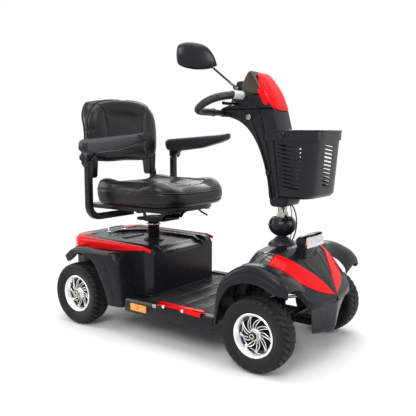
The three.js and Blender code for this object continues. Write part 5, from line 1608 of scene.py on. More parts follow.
class SCOOTER_OT_basket(bpy.types.Operator):
    """Tapered moulded basket with slanted slots in its sides, a banded rim and corner knobs"""

    bl_idname = "scooter.basket"
    bl_label = "Basket"

    def plan(self, s, level, grow=0.0):
        """A point round the basket: s runs from the back right corner over the front to the back left corner."""
        def ring_at(table):
            (x0, y0), (x1, y1), (x2, _) = table
            return x0, y0, x1, y1, x2

        a, b = ring_at(BASKET_FOOT_RING), ring_at(BASKET_TOP_RING)
        x0, y0, x1, y1, x2 = (p + (q - p) * level for p, q in zip(a, b))
        t = abs(2 * s - 1)
        side = -1 if s < 0.5 else 1
        corner = 0.022
        if t > 0.56:
            k = (1 - t) / 0.44
            x, y = x0 + (x1 - corner - x0) * k, y0 + (y1 + 0.002 - y0) * k
            out = Vector((0.05, 1))
        else:
            k = t / 0.56
            swell = (1 - k ** 3.6) ** (1 / 1.9) if k < 1 else 0
            x = (x1 - corner) + (x2 - x1 + corner) * swell
            y = (y1 + 0.002) * k ** 0.86
            out = Vector((0.8, 1.2 * k ** 2)).normalized()
        return Vector((BASKET_BACK + x + out.x * grow, side * (y + out.y * grow)))

    def wing(self, y, level):
        """How far the back corners reach round the tiller."""
        return (0.006 + 0.014 * level) * ease(0.075, 0.140, abs(y))

    def execute(self, context):
        low, high = span("basket")
        foot, top = low.z, high.z
        wall = 0.0032

        def shape(u, v):
            s = 0.5 + (u - 0.5)
            turn_in = 0.010 * (1 - ease(0, 0.06, v)) ** 2
            p = self.plan(s, v, -turn_in)
            return (p.x - self.wing(p.y, v), p.y, foot + (top - foot) * v)

        side = sheet("basket_wall", 150, 60, shape)
        edited(side, merge, outwards)
        applied(side, "SOLIDIFY", thickness=wall, offset=-1)
        back_half_top, back_half_foot = 0.160, 0.126

        def rear(u, v):
            y = (2 * u - 1) * (back_half_foot + (back_half_top - back_half_foot) * v - 0.001)
            return (BASKET_BACK + 0.014 * (1 - v) - self.wing(y, v), y, foot + (top - foot) * v)

        back = sheet("basket_back", 60, 24, rear)
        edited(back, merge)
        applied(back, "SOLIDIFY", thickness=wall, offset=0)
        edited(back, outwards)
        cut(side, self.slots(foot, top))
        cut(back, self.back_slots(top))
        base = plate("basket_floor", [tuple(self.plan(i / 40, 0.03, -0.009)) for i in range(41)], "xy", foot,
                     foot + 0.004, 0.0015)
        rim = self.band_round(top - 0.034, top, 0.0038, "basket_rim")
        bead = self.band_round(top - 0.0055, top + 0.0005, 0.0066, "basket_bead")
        corners = []
        for s in (0.005, 0.995):
            path = [(*self.plan(s, v, 0.001), foot + (top - foot) * v) for v in (0.02, 0.3, 0.6, 0.98)]
            corners.append(tube("corner_rib", path, 0.0042, facets=4))
        parts = [smooth(side, 30), smooth(back, 30), smooth(base, 30), smooth(rim, 35), smooth(bead, 35), *corners]
        give(joined("basket_shell", *parts), "basket", "black_plastic", node="basket")
        for name, s in (("right", 0.10), ("left", 0.90)):
            p = self.plan(s, 0.94, 0.003)
            normal = (0.02, -1 if s < 0.5 else 1, 0)
            knob = turned("basket_knob_" + name, [
                (0.0, 0), (0.0115, 0), (0.0120, 0.0020), (0.0112, 0.0042), (0.0090, 0.0050), (0.0072, 0.0034),
                (0.0036, 0.0034), (0.0030, 0.0046), (0.0, 0.0048)], 40, axis=normal, at=(p.x, p.y, top - 0.016))
            give(smooth(knob, 35), "basket", "black_steel")
        tongue_low, tongue_high = 0.7206, 0.770
        tongue = plate("basket_tongue",
                       [(0.4076, tongue_low), (0.4170, tongue_low), (0.4150, tongue_high), (0.4076, tongue_high)],
                       "xz", -0.0213, 0.0213, 0.001)
        give(smooth(tongue, 30), "basket", "black_plastic")
        return {"FINISHED"}

    def band_round(self, z0, z1, grow, name):
        def shape(u, v):
            p = self.plan(u, 1.0 - 0.012 * (1 - v), grow + 0.0008 * v)
            return (p.x - self.wing(p.y, 1.0), p.y, z0 + (z1 - z0) * v)

        obj = sheet(name, 150, 6, shape)
        edited(obj, merge, outwards)
        return applied(obj, "SOLIDIFY", thickness=0.0045, offset=-1)

    def slots(self, foot, top):
        """Slanted slots: two groups in each side wall and one group in the middle of the front."""
        cutters = []
        for s0, s1, drop in ((0.050, 0.225, 0.0130), (0.775, 0.950, -0.0130), (0.455, 0.545, 0.0075)):
            for r in range(SLOT_ROWS):
                z = top - 0.048 - SLOT_PITCH * r
                level = (z - foot) / (top - foot)
                p, q = self.plan(s0, level), self.plan(s1, level - 0.03)
                cutters.append(self.slot(p, q, z - max(-drop, 0), z - max(drop, 0)))
        return joined("slots", *cutters)

    def slot(self, p, q, z0, z1):
        """A rounded bar through the wall from p to q, high enough to cut one slot."""
        run = Vector((q.x - p.x, q.y - p.y, z1 - z0))
        out = Vector((run.y, -run.x, 0)).normalized() * 0.02
        ends = []
        length = run.length
        direction = run.normalized()
        for k in range(12):
            a = math.tau * k / 12
            shift = 0.0034 * math.cos(a)
            lift = 0.0034 * math.sin(a)
            base = Vector((p.x, p.y, z0)) if math.cos(a) < 0 else Vector((p.x, p.y, z0)) + direction * length
            ends.append(base + direction * shift + Vector((0, 0, lift)))
        obj = ring("slot", [e - out for e in ends])
        edited(obj, lambda: bpy.ops.mesh.extrude_region_move(TRANSFORM_OT_translate={"value": out * 2}), outwards)
        return obj

    def back_slots(self, top):
        cutters = []
        for side in (-1, 1):
            for r in range(SLOT_ROWS):
                z = top - 0.052 - SLOT_PITCH * r
                cutters.append(self.slot(Vector((BASKET_BACK, side * 0.045)), Vector((BASKET_BACK, side * 0.102)), z,
                                         z))
        return joined("back_slots", *cutters)


# ---- Seat ----
def pillow(name, outline, profile, place, columns=120, rows=56):
    """A closed form: each section of the profile is the outline at its share, laid where place says."""

    def shape(u, v):
        share, depth = along(profile, v)
        a, b = outline(math.tau * u)
        return place(a * share, b * share, depth)

    obj = sheet(name, columns, rows, shape)
    return edited(obj, merge, outwards)


PAD_VOXEL, PAD_PRESSURE = 0.0055, 4.0


def inflated(obj, voxel, pressure, cap, held=None, frames=20):
    """Remeshes the cover evenly and lets the filling press it out; held says where the seams hold it back."""
    applied(obj, "REMESH", mode="VOXEL", voxel_size=voxel)
    before = [v.co.copy() for v in obj.data.vertices]
    only(obj)
    if held:
        pins = obj.vertex_groups.new(name="Seams")
        for v in obj.data.vertices:
            pull = held(v.co)
            if pull > 0:
                pins.add([v.index], pull, "REPLACE")
    bpy.ops.object.modifier_add(type="CLOTH")
    cloth = obj.modifiers[-1]
    s = cloth.settings
    s.quality = 5
    s.mass = 0.3
    s.tension_stiffness = s.compression_stiffness = 12
    s.shear_stiffness = 6
    s.bending_stiffness = 0.6
    s.use_pressure = True
    s.uniform_pressure_force = pressure
    s.effector_weights.gravity = 0
    if held:
        s.vertex_group_mass = "Seams"
        s.pin_stiffness = 1
    cloth.point_cache.frame_start, cloth.point_cache.frame_end = 1, frames
    scene = bpy.context.scene
    for i in range(1, frames + 1):
        scene.frame_set(i)
    bpy.ops.object.modifier_apply(modifier=cloth.name)
    scene.frame_set(1)
    for v, start in zip(obj.data.vertices, before):
        move = v.co - start
        if move.length > cap:
            v.co = start + move * (cap / move.length)
    obj.vertex_groups.clear()
    return obj


def on_skin(obj, points, lift=0.0):
    """The nearest places on the piece's skin, raised a little along its normal."""
    result = []
    for p in points:
        _, co, normal, _ = obj.closest_point_on_mesh(Vector(p))
        result.append(co + normal * lift)
    return result


def points_tree(points):
    """A search tree over points, to find the nearest one."""
    tree = KDTree(len(points))
    for k, p in enumerate(points):
        tree.insert(p, k)
    tree.balance()
    return tree


def sewn(obj, lines, width, depth):
    """Presses sewn lines into the skin: each is a list of points, and the skin sinks beside them."""
    tree = points_tree([p for line in lines for p in line])
    normals = [v.normal.copy() for v in obj.data.vertices]
    for v, normal in zip(obj.data.vertices, normals):
        _, _, away = tree.find(v.co)
        if away < width * 3:
            v.co -= normal * depth * math.exp(-((away / width) ** 2))
    return obj


SEAT_HALF = 0.2175
SEAT_BACK, SEAT_FRONT = -0.4235, -0.001


def seat_outline(angle):
    """Plan of the cushion from its middle: straight sides, a full rounded front and tighter rear corners."""
    half_x = (SEAT_FRONT - SEAT_BACK) / 2
    c, s = math.cos(angle), math.sin(angle)
    p = 4.6 if c > 0 else 8.0
    return (
        half_x * math.copysign(abs(c) ** (2 / p), c),
        SEAT_HALF * math.copysign(abs(s) ** (2 / p), s),
    )


def seat_top(x, y):
    """Height of the cushion's top: bolsters along the sides, a dished middle and a front that rolls down."""
    across = abs(y) / SEAT_HALF
    bolster = 0.020 * ease(0.36, 0.78, across)
    rear = 0.012 * (1 - ease(-0.39, -0.30, x))
    front = 0.010 * ease(-0.16, -0.075, x)
    roll = 0.026 * ease(-0.095, -0.004, x) ** 1.5
    return 0.5785 + bolster * (1 - 0.3 * ease(-0.10, -0.03, x)) + rear + front - roll


class SCOOTER_OT_seat(bpy.types.Operator):
    """Seat cushion: a dished vinyl pad with bolsters, sewn lines and piping"""

    bl_idname = "scooter.seat"
    bl_label = "Seat cushion"

    def execute(self, context):
        low = span("seat_cushion")[0]
        foot = low.z + 0.0003
        middle_x = (SEAT_BACK + SEAT_FRONT) / 2
        profile = (
            (0.0, 0.0), (0.60, 0.0), (0.86, 0.0), (0.925, 0.03), (0.965, 0.14), (0.988, 0.34), (0.993, 0.52),
            (0.985, 0.70), (0.955, 0.88), (0.90, 0.975), (0.80, 1.0), (0.60, 1.0), (0.30, 1.0), (0.0, 1.0),
        )

        def place(a, b, depth):
            x, y = middle_x + a, b
            return (x, y, foot + (seat_top(x, y) - foot) * depth)

        pad = pillow("seat_pad", seat_outline, profile, place)

        inner = [
            Vector((middle_x - 0.004 + a * 0.72, b * 0.655, 0.7))
            for a, b in (seat_outline(math.tau * (i / 120)) for i in range(121))
        ]

        def drop(line):
            return [Vector((p.x, p.y, seat_top(p.x, p.y))) for p in line]

        tree = points_tree(drop(inner))

        def held(co):
            if co.z < foot + 0.004:
                return 1.0
            return 0.85 if tree.find(co)[2] < 0.007 else 0.0

        inflated(pad, PAD_VOXEL, PAD_PRESSURE, 0.012, held)
        for v in pad.data.vertices:
            v.co.z = max(v.co.z, foot)
        applied(pad, "SMOOTH", factor=0.5, iterations=2)
        applied(pad, "SUBSURF", levels=1, render_levels=1)
        rim = [Vector((middle_x + a, b, foot + 0.066)) for a, b in
               (seat_outline(math.tau * i / 240) for i in range(241))]
        skin_rim = on_skin(pad, rim)
        skin_inner = on_skin(pad, drop(inner))
        low_rim = on_skin(pad, [Vector((p.x, p.y, foot + 0.012)) for p in rim])
        sewn(pad, [skin_inner], sizes().seam, 0.0035)
        sewn(pad, [skin_rim, low_rim], 0.0045, 0.0022)
        give(smooth(pad, 60), "seat", "black_vinyl", node="seat_cushion")
        for label, line, r in (("rim", skin_rim, sizes().piping * 0.8), ("foot", low_rim, sizes().piping * 0.7)):
            cord_ = tube(f"seat_piping_{label}", line[:-1][::2], r, closed=True, facets=3, fineness=2)
            give(cord_, "seat", "black_vinyl")
        stitches = stitched("seat_stitches", pad, skin_inner, 0.0062, 0.0042)
        give(stitches, "seat", "black_vinyl")
        return {"FINISHED"}


def stitched(name, obj, line, pitch, offset):
    """Short raised stitches in one row beside a sewn line."""
    stitch = turned("stitch", [(0.0, -0.0019), (0.00045, -0.0017), (0.0006, -0.0008), (0.0006, 0.0008),
                               (0.00045, 0.0017), (0.0, 0.0019)], 5)
    run, pieces, gone = 0.0, [], 0.0
    for a, b in zip(line, line[1:]):
        length = (b - a).length
        while gone <= run + length and length > 0:
            at = a.lerp(b, (gone - run) / length)
            direction = (b - a).normalized()
            _, co, normal, _ = obj.closest_point_on_mesh(at)
            aside = direction.cross(normal).normalized() * offset
            _, co, normal, _ = obj.closest_point_on_mesh(at + aside)
            turn = Vector((0, 0, 1)).rotation_difference(direction).to_matrix().to_4x4()
            pieces.append(Matrix.Translation(co + normal * 0.0002) @ turn)
            gone += pitch
        run += length
    copies = [copied(stitch, "stitch", m) for m in pieces]
    bpy.data.objects.remove(stitch)
    return joined(name, *copies)


BACK_LOW, BACK_HIGH, BACK_HALF = 0.6735, 0.9495, 0.2180
BACK_MIDDLE_Z = 0.811


def back_lean(z):
    return -0.045 * (z - 0.672)


def back_outline(angle):
    """Front view of the backrest: round top corners, sides that draw in a little and rounder lower corners."""
    c, s = math.cos(angle), math.sin(angle)
    p = 2.9 if s > 0 else 6.0
    half_z = (BACK_HIGH - BACK_LOW) / 2
    y = BACK_HALF * math.copysign(abs(c) ** (2 / p), c)
    z = half_z * math.copysign(abs(s) ** (2 / p), s)
    return (y, z)


class SCOOTER_OT_backrest(bpy.types.Operator):
    """Backrest: a vinyl pad with a sewn middle panel, a dipped cross seam and piping round its edge"""

    bl_idname = "scooter.backrest"
    bl_label = "Backrest pad"

    def execute(self, context):
        rear, front = -0.484, -0.4145
        profile = (
            (0.0, 0.0), (0.50, 0.0), (0.86, 0.02), (0.945, 0.10), (0.982, 0.27), (0.990, 0.50), (0.982, 0.70),
            (0.945, 0.86), (0.88, 0.955), (0.78, 0.985), (0.60, 0.97), (0.40, 0.94), (0.20, 0.925), (0.0, 0.92),
        )

        def place(a, b, depth):
            u, w = abs(a) / BACK_HALF, max(b, 0) / (BACK_HIGH - BACK_MIDDLE_Z)
            corner = (min(u, w) / max(u, w, 1e-6)) ** 1.5
            square = 1 + 0.13 * corner * (1 - ease(0.15, 0.85, depth))
            a, b = a * square, b * (square if b > 0 else 1)
            z = BACK_MIDDLE_Z + b
            hollow = 0.010 * (1 - min(abs(a) / 0.16, 1) ** 2) * ease(0.5, 1.0, depth) * (1 - ease(0.05, 0.13, abs(b)))
            return (rear + (front - rear) * depth - hollow + back_lean(z), a, z)

        pad = pillow("backrest_pad", back_outline, profile, place, columns=132, rows=56)
        lines = self.seams()
        tree = points_tree([(0, p[1], p[2]) for line in lines for p in line])

        def held(co):
            if co.x - back_lean(co.z) > -0.445 and tree.find((0, co.y, co.z))[2] < 0.007:
                return 0.9
            return 0.0

        inflated(pad, PAD_VOXEL, PAD_PRESSURE, 0.008, held)
        applied(pad, "SMOOTH", factor=0.5, iterations=2)
        applied(pad, "SUBSURF", levels=1, render_levels=1)
        skins = [on_skin(pad, line) for line in lines]
        sewn(pad, skins, sizes().seam, 0.0032)
        edge = []
        for i in range(240):
            a, b = back_outline(math.tau * i / 240)
            z = BACK_MIDDLE_Z + b
            edge.append(Vector((-0.4335 + back_lean(z), a, z)))
        front_edge = on_skin(pad, edge)
        rear_edge = on_skin(pad, [Vector((p.x - 0.036, p.y * 1.05, BACK_MIDDLE_Z + (p.z - BACK_MIDDLE_Z) * 1.04))
                                  for p in edge])
        sewn(pad, [front_edge, rear_edge], 0.004, 0.002)
        give(smooth(pad, 60), "backrest", "black_vinyl", node="back_pad")
        for label, line in (("front", front_edge), ("rear", rear_edge)):
            trim = tube(f"back_piping_{label}", line[::2], sizes().piping * 0.75, closed=True, facets=3, fineness=2)
            give(trim, "backrest", "black_vinyl")
        self.legs()
        rows = [stitched(f"back_row_{i}", pad, line, 0.0062, side * 0.0042)
                for i, (line, side) in enumerate(zip(skins, (1, 1, -1)))]
        give(joined("back_stitches", *rows), "backrest", "black_vinyl")
        return {"FINISHED"}

    def legs(self):
        """The covered lower corners, which run down to the hinges."""
        for name, side in SIDES:
            outline = [(-0.4870, 0.7100), (-0.4860, 0.6600), (-0.4800, 0.6150), (-0.4720, 0.6080), (-0.4400, 0.6080),
                       (-0.4330, 0.6150), (-0.4290, 0.6600), (-0.4260, 0.7100)]
            leg = plate("back_leg_" + name, outline, "xz", *sorted((side * 0.1640, side * 0.2005)), 0.0)
            eased(leg, 0.008, 5)
            give(smooth(leg, 45), "backrest", "black_vinyl")

    def seams(self):
        """The cross seam, which dips in the middle, and one line each side that runs from the top to the foot."""
        x = -0.415

        def lay(points, count):
            return [Vector((x + back_lean(p[1]), p[0], p[1])) for p in through(points, count)]

        cross = lay(((-0.128, 0.888), (-0.100, 0.878), (-0.060, 0.8705), (0.0, 0.8685), (0.060, 0.8705),
                     (0.100, 0.878), (0.128, 0.888)), 60)
        sides = []
        for s in (-1, 1):
            sides.append(lay(((s * 0.166, 0.936), (s * 0.138, 0.905), (s * 0.118, 0.872), (s * 0.108, 0.820),
                              (s * 0.108, 0.760), (s * 0.116, 0.715), (s * 0.130, 0.684)), 80))
        return [cross, *sides]


class SCOOTER_OT_armrests(bpy.types.Operator):
    """Armrest pads with their end caps, side grooves, pivot knobs and bent brackets"""

    bl_idname = "scooter.armrests"
    bl_label = "Armrests"

    def execute(self, context):
        for name, side in SIDES:
            self.pad(name, side)
            self.bracket(name, side)
        return {"FINISHED"}

    def pad(self, name, side):
        centre, half = 0.268, 0.0232
        rear, tip = -0.4148, -0.0560

        def shape(u, v):
            x = rear + (tip - rear) * u
            top = at_x(((-0.4148, 0.7635), (-0.400, 0.7705), (-0.250, 0.7805), (-0.100, 0.7905), (-0.055, 0.7960),
                        (-0.0415, 0.7945)), x)[0]
            foot = at_x(((-0.4148, 0.7360), (-0.403, 0.7190), (-0.385, 0.7165), (-0.330, 0.7165), (-0.200, 0.7310),
                         (-0.100, 0.7560), (-0.068, 0.7670), (-0.0560, 0.7740)), x)[0]
            end = min(x - rear, tip - x)
            narrow = 1 - 0.28 * (1 - ease(0, 0.022, end)) ** 2
            a = math.tau * v
            c, s_ = math.cos(a), math.sin(a)
            p = 3.4 if s_ > 0 else 4.5
            w = half * narrow * (0.93 + 0.07 * ease(-1, 0.3, s_))
            y = w * math.copysign(abs(c) ** (2 / p), c)
            mid, h = (top + foot) / 2, (top - foot) / 2
            z = mid + h * math.copysign(abs(s_) ** (2 / p), s_)
            z += 0.0018 * max(s_, 0) * (1 - (y / half) ** 2)
            return (x, side * centre + y, z)

        body = sheet("armrest_body", 90, 48, shape)
        edited(body, merge)
        close_ends(body)
        eased(body, 0.004, 4)
        applied(body, "SUBSURF", levels=1, render_levels=1)
        smooth(body, 50)
        groove = []
        for i in range(60):
            t = i / 59
            x = -0.392 + 0.335 * t
            top = at_x(((-0.400, 0.7705), (-0.250, 0.7805), (-0.100, 0.7905), (-0.055, 0.7960)), x)[0]
            groove.append(Vector((x, side * (centre + half), top - 0.0135)))
            groove.append(Vector((x, side * (centre - half), top - 0.0135)))
        sewn(body, [on_skin(body, groove)], 0.0022, 0.0009)
        give(body, f"armrest_{name}", "grip_foam", "black_vinyl", f"armrest_{name}")
        inset = plate("armrest_end_" + name,
                      [(-0.4100, 0.7400), (-0.4040, 0.7260), (-0.3720, 0.7235), (-0.3560, 0.7280),
                       (-0.3560, 0.7580), (-0.4040, 0.7570)], "xz",
                      *sorted((side * (centre + half - 0.004), side * (centre + half + 0.0012))), 0.003, 4)
        cap = plate("armrest_tip_" + name,
                    [(-0.0900, 0.7650), (-0.0640, 0.7745), (-0.0600, 0.7800), (-0.0610, 0.7900),
                     (-0.0680, 0.7925), (-0.0900, 0.7895)], "xz",
                    *sorted((side * (centre + half * 0.86 - 0.003), side * (centre + half * 0.86 + 0.0024))),
                    0.003, 4)
        give(joined("armrest_caps_" + name, smooth(inset, 35), smooth(cap, 35)), f"armrest_{name}",
             "charcoal_plastic", "black_vinyl")
        block_ = plate("armrest_pivot_" + name,
                       [(-0.3925, 0.7230), (-0.3930, 0.7000), (-0.3900, 0.6900), (-0.3830, 0.6855),
                        (-0.3700, 0.6855), (-0.3560, 0.6960), (-0.3400, 0.7100), (-0.3300, 0.7230)],
                       "xz", *sorted((side * 0.2545, side * 0.2815)), 0.003, 3)
        give(smooth(block_, 40), f"armrest_{name}", "black_steel")

    def bracket(self, name, side):
        """A square tube that rises from the frame bar with a wide bend and carries the pivot knob."""
        body = f"arm_{name}"
        y = side * 0.268
        inner = span(f"armrest_bracket_{name}")
        inner_y = inner[0].y if side > 0 else inner[1].y
        top_cut, foot_z, bend = 0.6853, 0.4530, 0.050
        centre_x = -0.3780
        line = [(centre_x, y, top_cut), (centre_x, y, 0.620), (centre_x, y, 0.560)]
        line += [(centre_x, y - side * bend * (1 - math.cos(math.radians(b))),
                  foot_z + bend - bend * math.sin(math.radians(b)))
                 for b in range(0, 91, 15)]
        line += [(centre_x, side * 0.150, foot_z), (centre_x, inner_y, foot_z)]
        section = [(0.0130, 0.0085), (0.0125, 0.0110), (0.0110, 0.0125), (0.0085, 0.0130)]
        full = []
        for sx, sy, flip in ((1, 1, False), (-1, 1, True), (-1, -1, False), (1, -1, True)):
            corner = [(sx * p, sy * q) for p, q in section]
            full += list(reversed(corner)) if flip else corner

        def skin(u, v):
            k = u * (len(line) - 1)
            i = min(int(k), len(line) - 2)
            a, b = Vector(line[i]), Vector(line[i + 1])
            p = a.lerp(b, k - i)
            before, after = Vector(line[max(i - 1, 0)]), Vector(line[min(i + 2, len(line) - 1)])
            heading = (after - before).normalized()
            along_x = Vector((1, 0, 0))
            side_way = heading.cross(along_x).normalized()
            m = v * len(full)
            f0, f1 = full[int(m) % len(full)], full[(int(m) + 1) % len(full)]
            w = m - int(m)
            return p + along_x * (f0[0] + (f1[0] - f0[0]) * w) + side_way * (f0[1] + (f1[1] - f0[1]) * w)

        bar = sheet("bracket_bar", (len(line) - 1) * 3, 48, skin)
        edited(bar, merge)
        close_ends(bar)
        give(smooth(bar, 40), body, "black_steel", node=f"armrest_bracket_{name}")
        low_, high_ = inner
        outer = high_.y if side > 0 else low_.y
        knob = turned(
            "pivot_knob_" + name,
            [(0.0, -0.0010), (0.0142, -0.0010), (0.0150, 0.0006), (0.0144, 0.0030), (0.0120, 0.0042),
             (0.0066, 0.0046),
             (0.0060, 0.0030), (0.0, 0.0030)], 36, axis=(0, side, 0), at=(centre_x, outer - side * 0.0008, 0.700))
        give(smooth(knob, 35), body, "black_plastic")
        for i, z in enumerate((0.655, 0.560)):
            button = turned("pin_%d" % i, [(0.0, 0.0), (0.0042, 0.0), (0.0038, 0.0018), (0.0, 0.0024)], 24,
                            axis=(0, side, 0), at=(centre_x, side * 0.2818, z))
            give(smooth(button, 40), body, "black_steel").name = f"arm_pin_{name}_{i}"


# ---- Metalwork ----
PLAIN_PARTS = (
    ("main_frame", "chassis", "black_steel", "black_steel", 0.002),
    ("transaxle", "chassis", "bare_steel", "black_steel", 0.002),
    ("controller", "chassis", "black_plastic", "black_plastic", 0.002),
    ("freewheel_lever", "freewheel", "black_plastic", "black_plastic", 0.0012),
    ("knuckle_left", "knuckle_left", "black_steel", "black_steel", 0.0012),
    ("knuckle_right", "knuckle_right", "black_steel", "black_steel", 0.0012),
    ("tie_rod", "tie_rod", "bare_steel", "black_steel", 0.001),
    ("seat_post", "seat_post", "black_steel", "black_steel", 0.001),
    ("slide_lever", "slide_lever", "black_steel", "black_steel", 0.001),
    ("back_frame", "backrest", "black_steel", "black_steel", 0.002),
)


def low_of(node_):
    """Height of the underside of a node."""
    return span(node_)[0].z


class SCOOTER_OT_metalwork(bpy.types.Operator):
    """Frame, drive, steering parts, seat hardware and batteries, with eased edges and their screws"""

    bl_idname = "scooter.metalwork"
    bl_label = "Metalwork"

    def execute(self, context):
        for node_, body, look, slot_, bevel in PLAIN_PARTS:
            machined(node_, body, look, slot_, bevel)
        for node_ in sorted(n for n in NODES if n.startswith("battery")):
            machined(node_, "chassis", "black_plastic", "black_plastic", 0.003)
        self.carriage()
        for name, side in SIDES:
            for i, x in enumerate((-0.36, -0.16)):
                screw = bolt(f"rail_screw_{name}_{i}", (x, side * 0.100, 0.4945), (0, 0, -1), 0.0052, 0.0040)
                give(screw, "seat", "chrome")
            hinge = bolt(f"hinge_bolt_{name}", (-0.455, side * 0.1965, 0.640), (0, side, 0), 0.0085, 0.005)
            give(hinge, "backrest", "bare_steel", "black_steel")
        return {"FINISHED"}

    def carriage(self):
        """What carries the seat on its post: a turning plate, two open side plates and the lower slide rails."""
        low, high = span("swivel_base")
        post = middle("seat_post")
        base_z = span("seat_post")[1].z + 0.0003
        parts = [smooth(plate("turn_plate", [(-0.325, -0.045), (-0.300, -0.069), (-0.185, -0.069), (-0.162, -0.050),
                                             (-0.162, 0.050), (-0.185, 0.069), (-0.300, 0.069), (-0.325, 0.045)],
                              "xy", base_z, base_z + 0.008, 0.0015), 35)]
        for _, side in SIDES:
            cheek = [(-0.262, base_z + 0.006), (-0.163, base_z + 0.006), (-0.150, base_z + 0.024), (-0.118, 0.4720),
                     (-0.118, 0.4760), (-0.395, 0.4760), (-0.395, 0.4700), (-0.272, 0.4700), (-0.266, base_z + 0.024)]
            side_plate = plate("cheek_plate", cheek, "xz", *sorted((side * 0.0640, side * 0.0680)), 0.001)
            window_ = plate("cheek_window", [(-0.248, 0.4470), (-0.185, 0.4470), (-0.165, 0.4630), (-0.254, 0.4630)],
                            "xz", *sorted((side * 0.05, side * 0.08)))
            cut(side_plate, window_)
            parts.append(smooth(side_plate, 35))
            rail = [(side * y, z) for y, z in (
                (0.0880, 0.4700), (0.1120, 0.4700), (0.1120, 0.4818), (0.1085, 0.4818), (0.1085, 0.4735),
                (0.0915, 0.4735), (0.0915, 0.4818), (0.0880, 0.4818))]
            parts.append(smooth(plate("lower_rail", rail, "yz", low.x + 0.0005, high.x - 0.0005, 0.0008), 35))
        for x in (-0.392, -0.300, -0.150):
            parts.append(tube("cross_rod", [(x, -0.108, 0.4735), (x, 0, 0.4735), (x, 0.108, 0.4735)], 0.0042,
                              facets=5, fineness=2))
        give(joined("seat_carriage", *parts), "swivel", "black_steel", node="swivel_base")
        bearing = turned("turn_bearing",
                         [(0.0, -0.0003), (0.0470, -0.0003), (0.0480, 0.0010), (0.0470, 0.0030), (0.0, 0.0030)],
                         64, at=(post.x, 0, base_z))
        give(smooth(bearing, 35), "swivel", "chrome")
        spring = []
        for i in range(121):
            a = i / 120 * math.tau * 10
            spring.append((-0.145 - 0.105 * i / 120, 0.045 + 0.0062 * math.cos(a), 0.4600 + 0.0062 * math.sin(a)))
        give(tube("slide_spring", spring, 0.0011, facets=2, fineness=2), "swivel", "chrome")
        floor_z = span("seat_pan")[0].z + 0.0450
        outline = [(-0.4700, -0.1980), (-0.4700, 0.1980)] + [
            (-0.2120 + 0.1860 * abs(math.cos(t)) ** 0.70,
             0.1940 * math.copysign(abs(math.sin(t)) ** 0.70, math.sin(t)))
            for t in (math.pi / 2 - math.pi * i / 40 for i in range(41))]
        pan = plate("pan_plate", outline, "xy", floor_z, low_of("seat_cushion") + 0.0004, 0.002)
        rails = []
        for _, side in SIDES:
            rail = [(side * y, z) for y, z in (
                (0.0900, 0.4770), (0.1100, 0.4770), (0.1100, floor_z + 0.0008), (0.0900, floor_z + 0.0008))]
            rails.append(smooth(plate("upper_rail", rail, "yz", -0.4350, -0.0420, 0.0012), 35))
        give(joined("seat_pan_plate", smooth(pan, 35), *rails), "seat", "black_plastic", "black_steel", "seat_pan")
        for name, side in SIDES:
            gusset = plate("hinge_plate_" + name,
                           [(-0.4715, 0.4985), (-0.4715, 0.6000), (-0.4640, 0.6520), (-0.4400, 0.6520),
                            (-0.4300, 0.6100), (-0.4280, 0.4985)], "xz",
                           *sorted((side * 0.2003, side * 0.2040)), 0.001)
            give(smooth(gusset, 35), "seat", "black_steel")
        ring_ = turned("post_ring",
                       [(0.0255, 0.0), (0.0300, 0.0), (0.0310, 0.0020), (0.0300, 0.0060), (0.0255, 0.0060)], 48,
                       at=(post.x, 0, 0.402))
        give(smooth(ring_, 35), "seat_post", "bare_steel", "black_steel")


# ---- Stage ----
EYE = Vector((1.400, -1.8388, 0.7779))
EYE_AZIMUTH, EYE_PITCH, EYE_LENS = 36.69, 7.02, 49.31


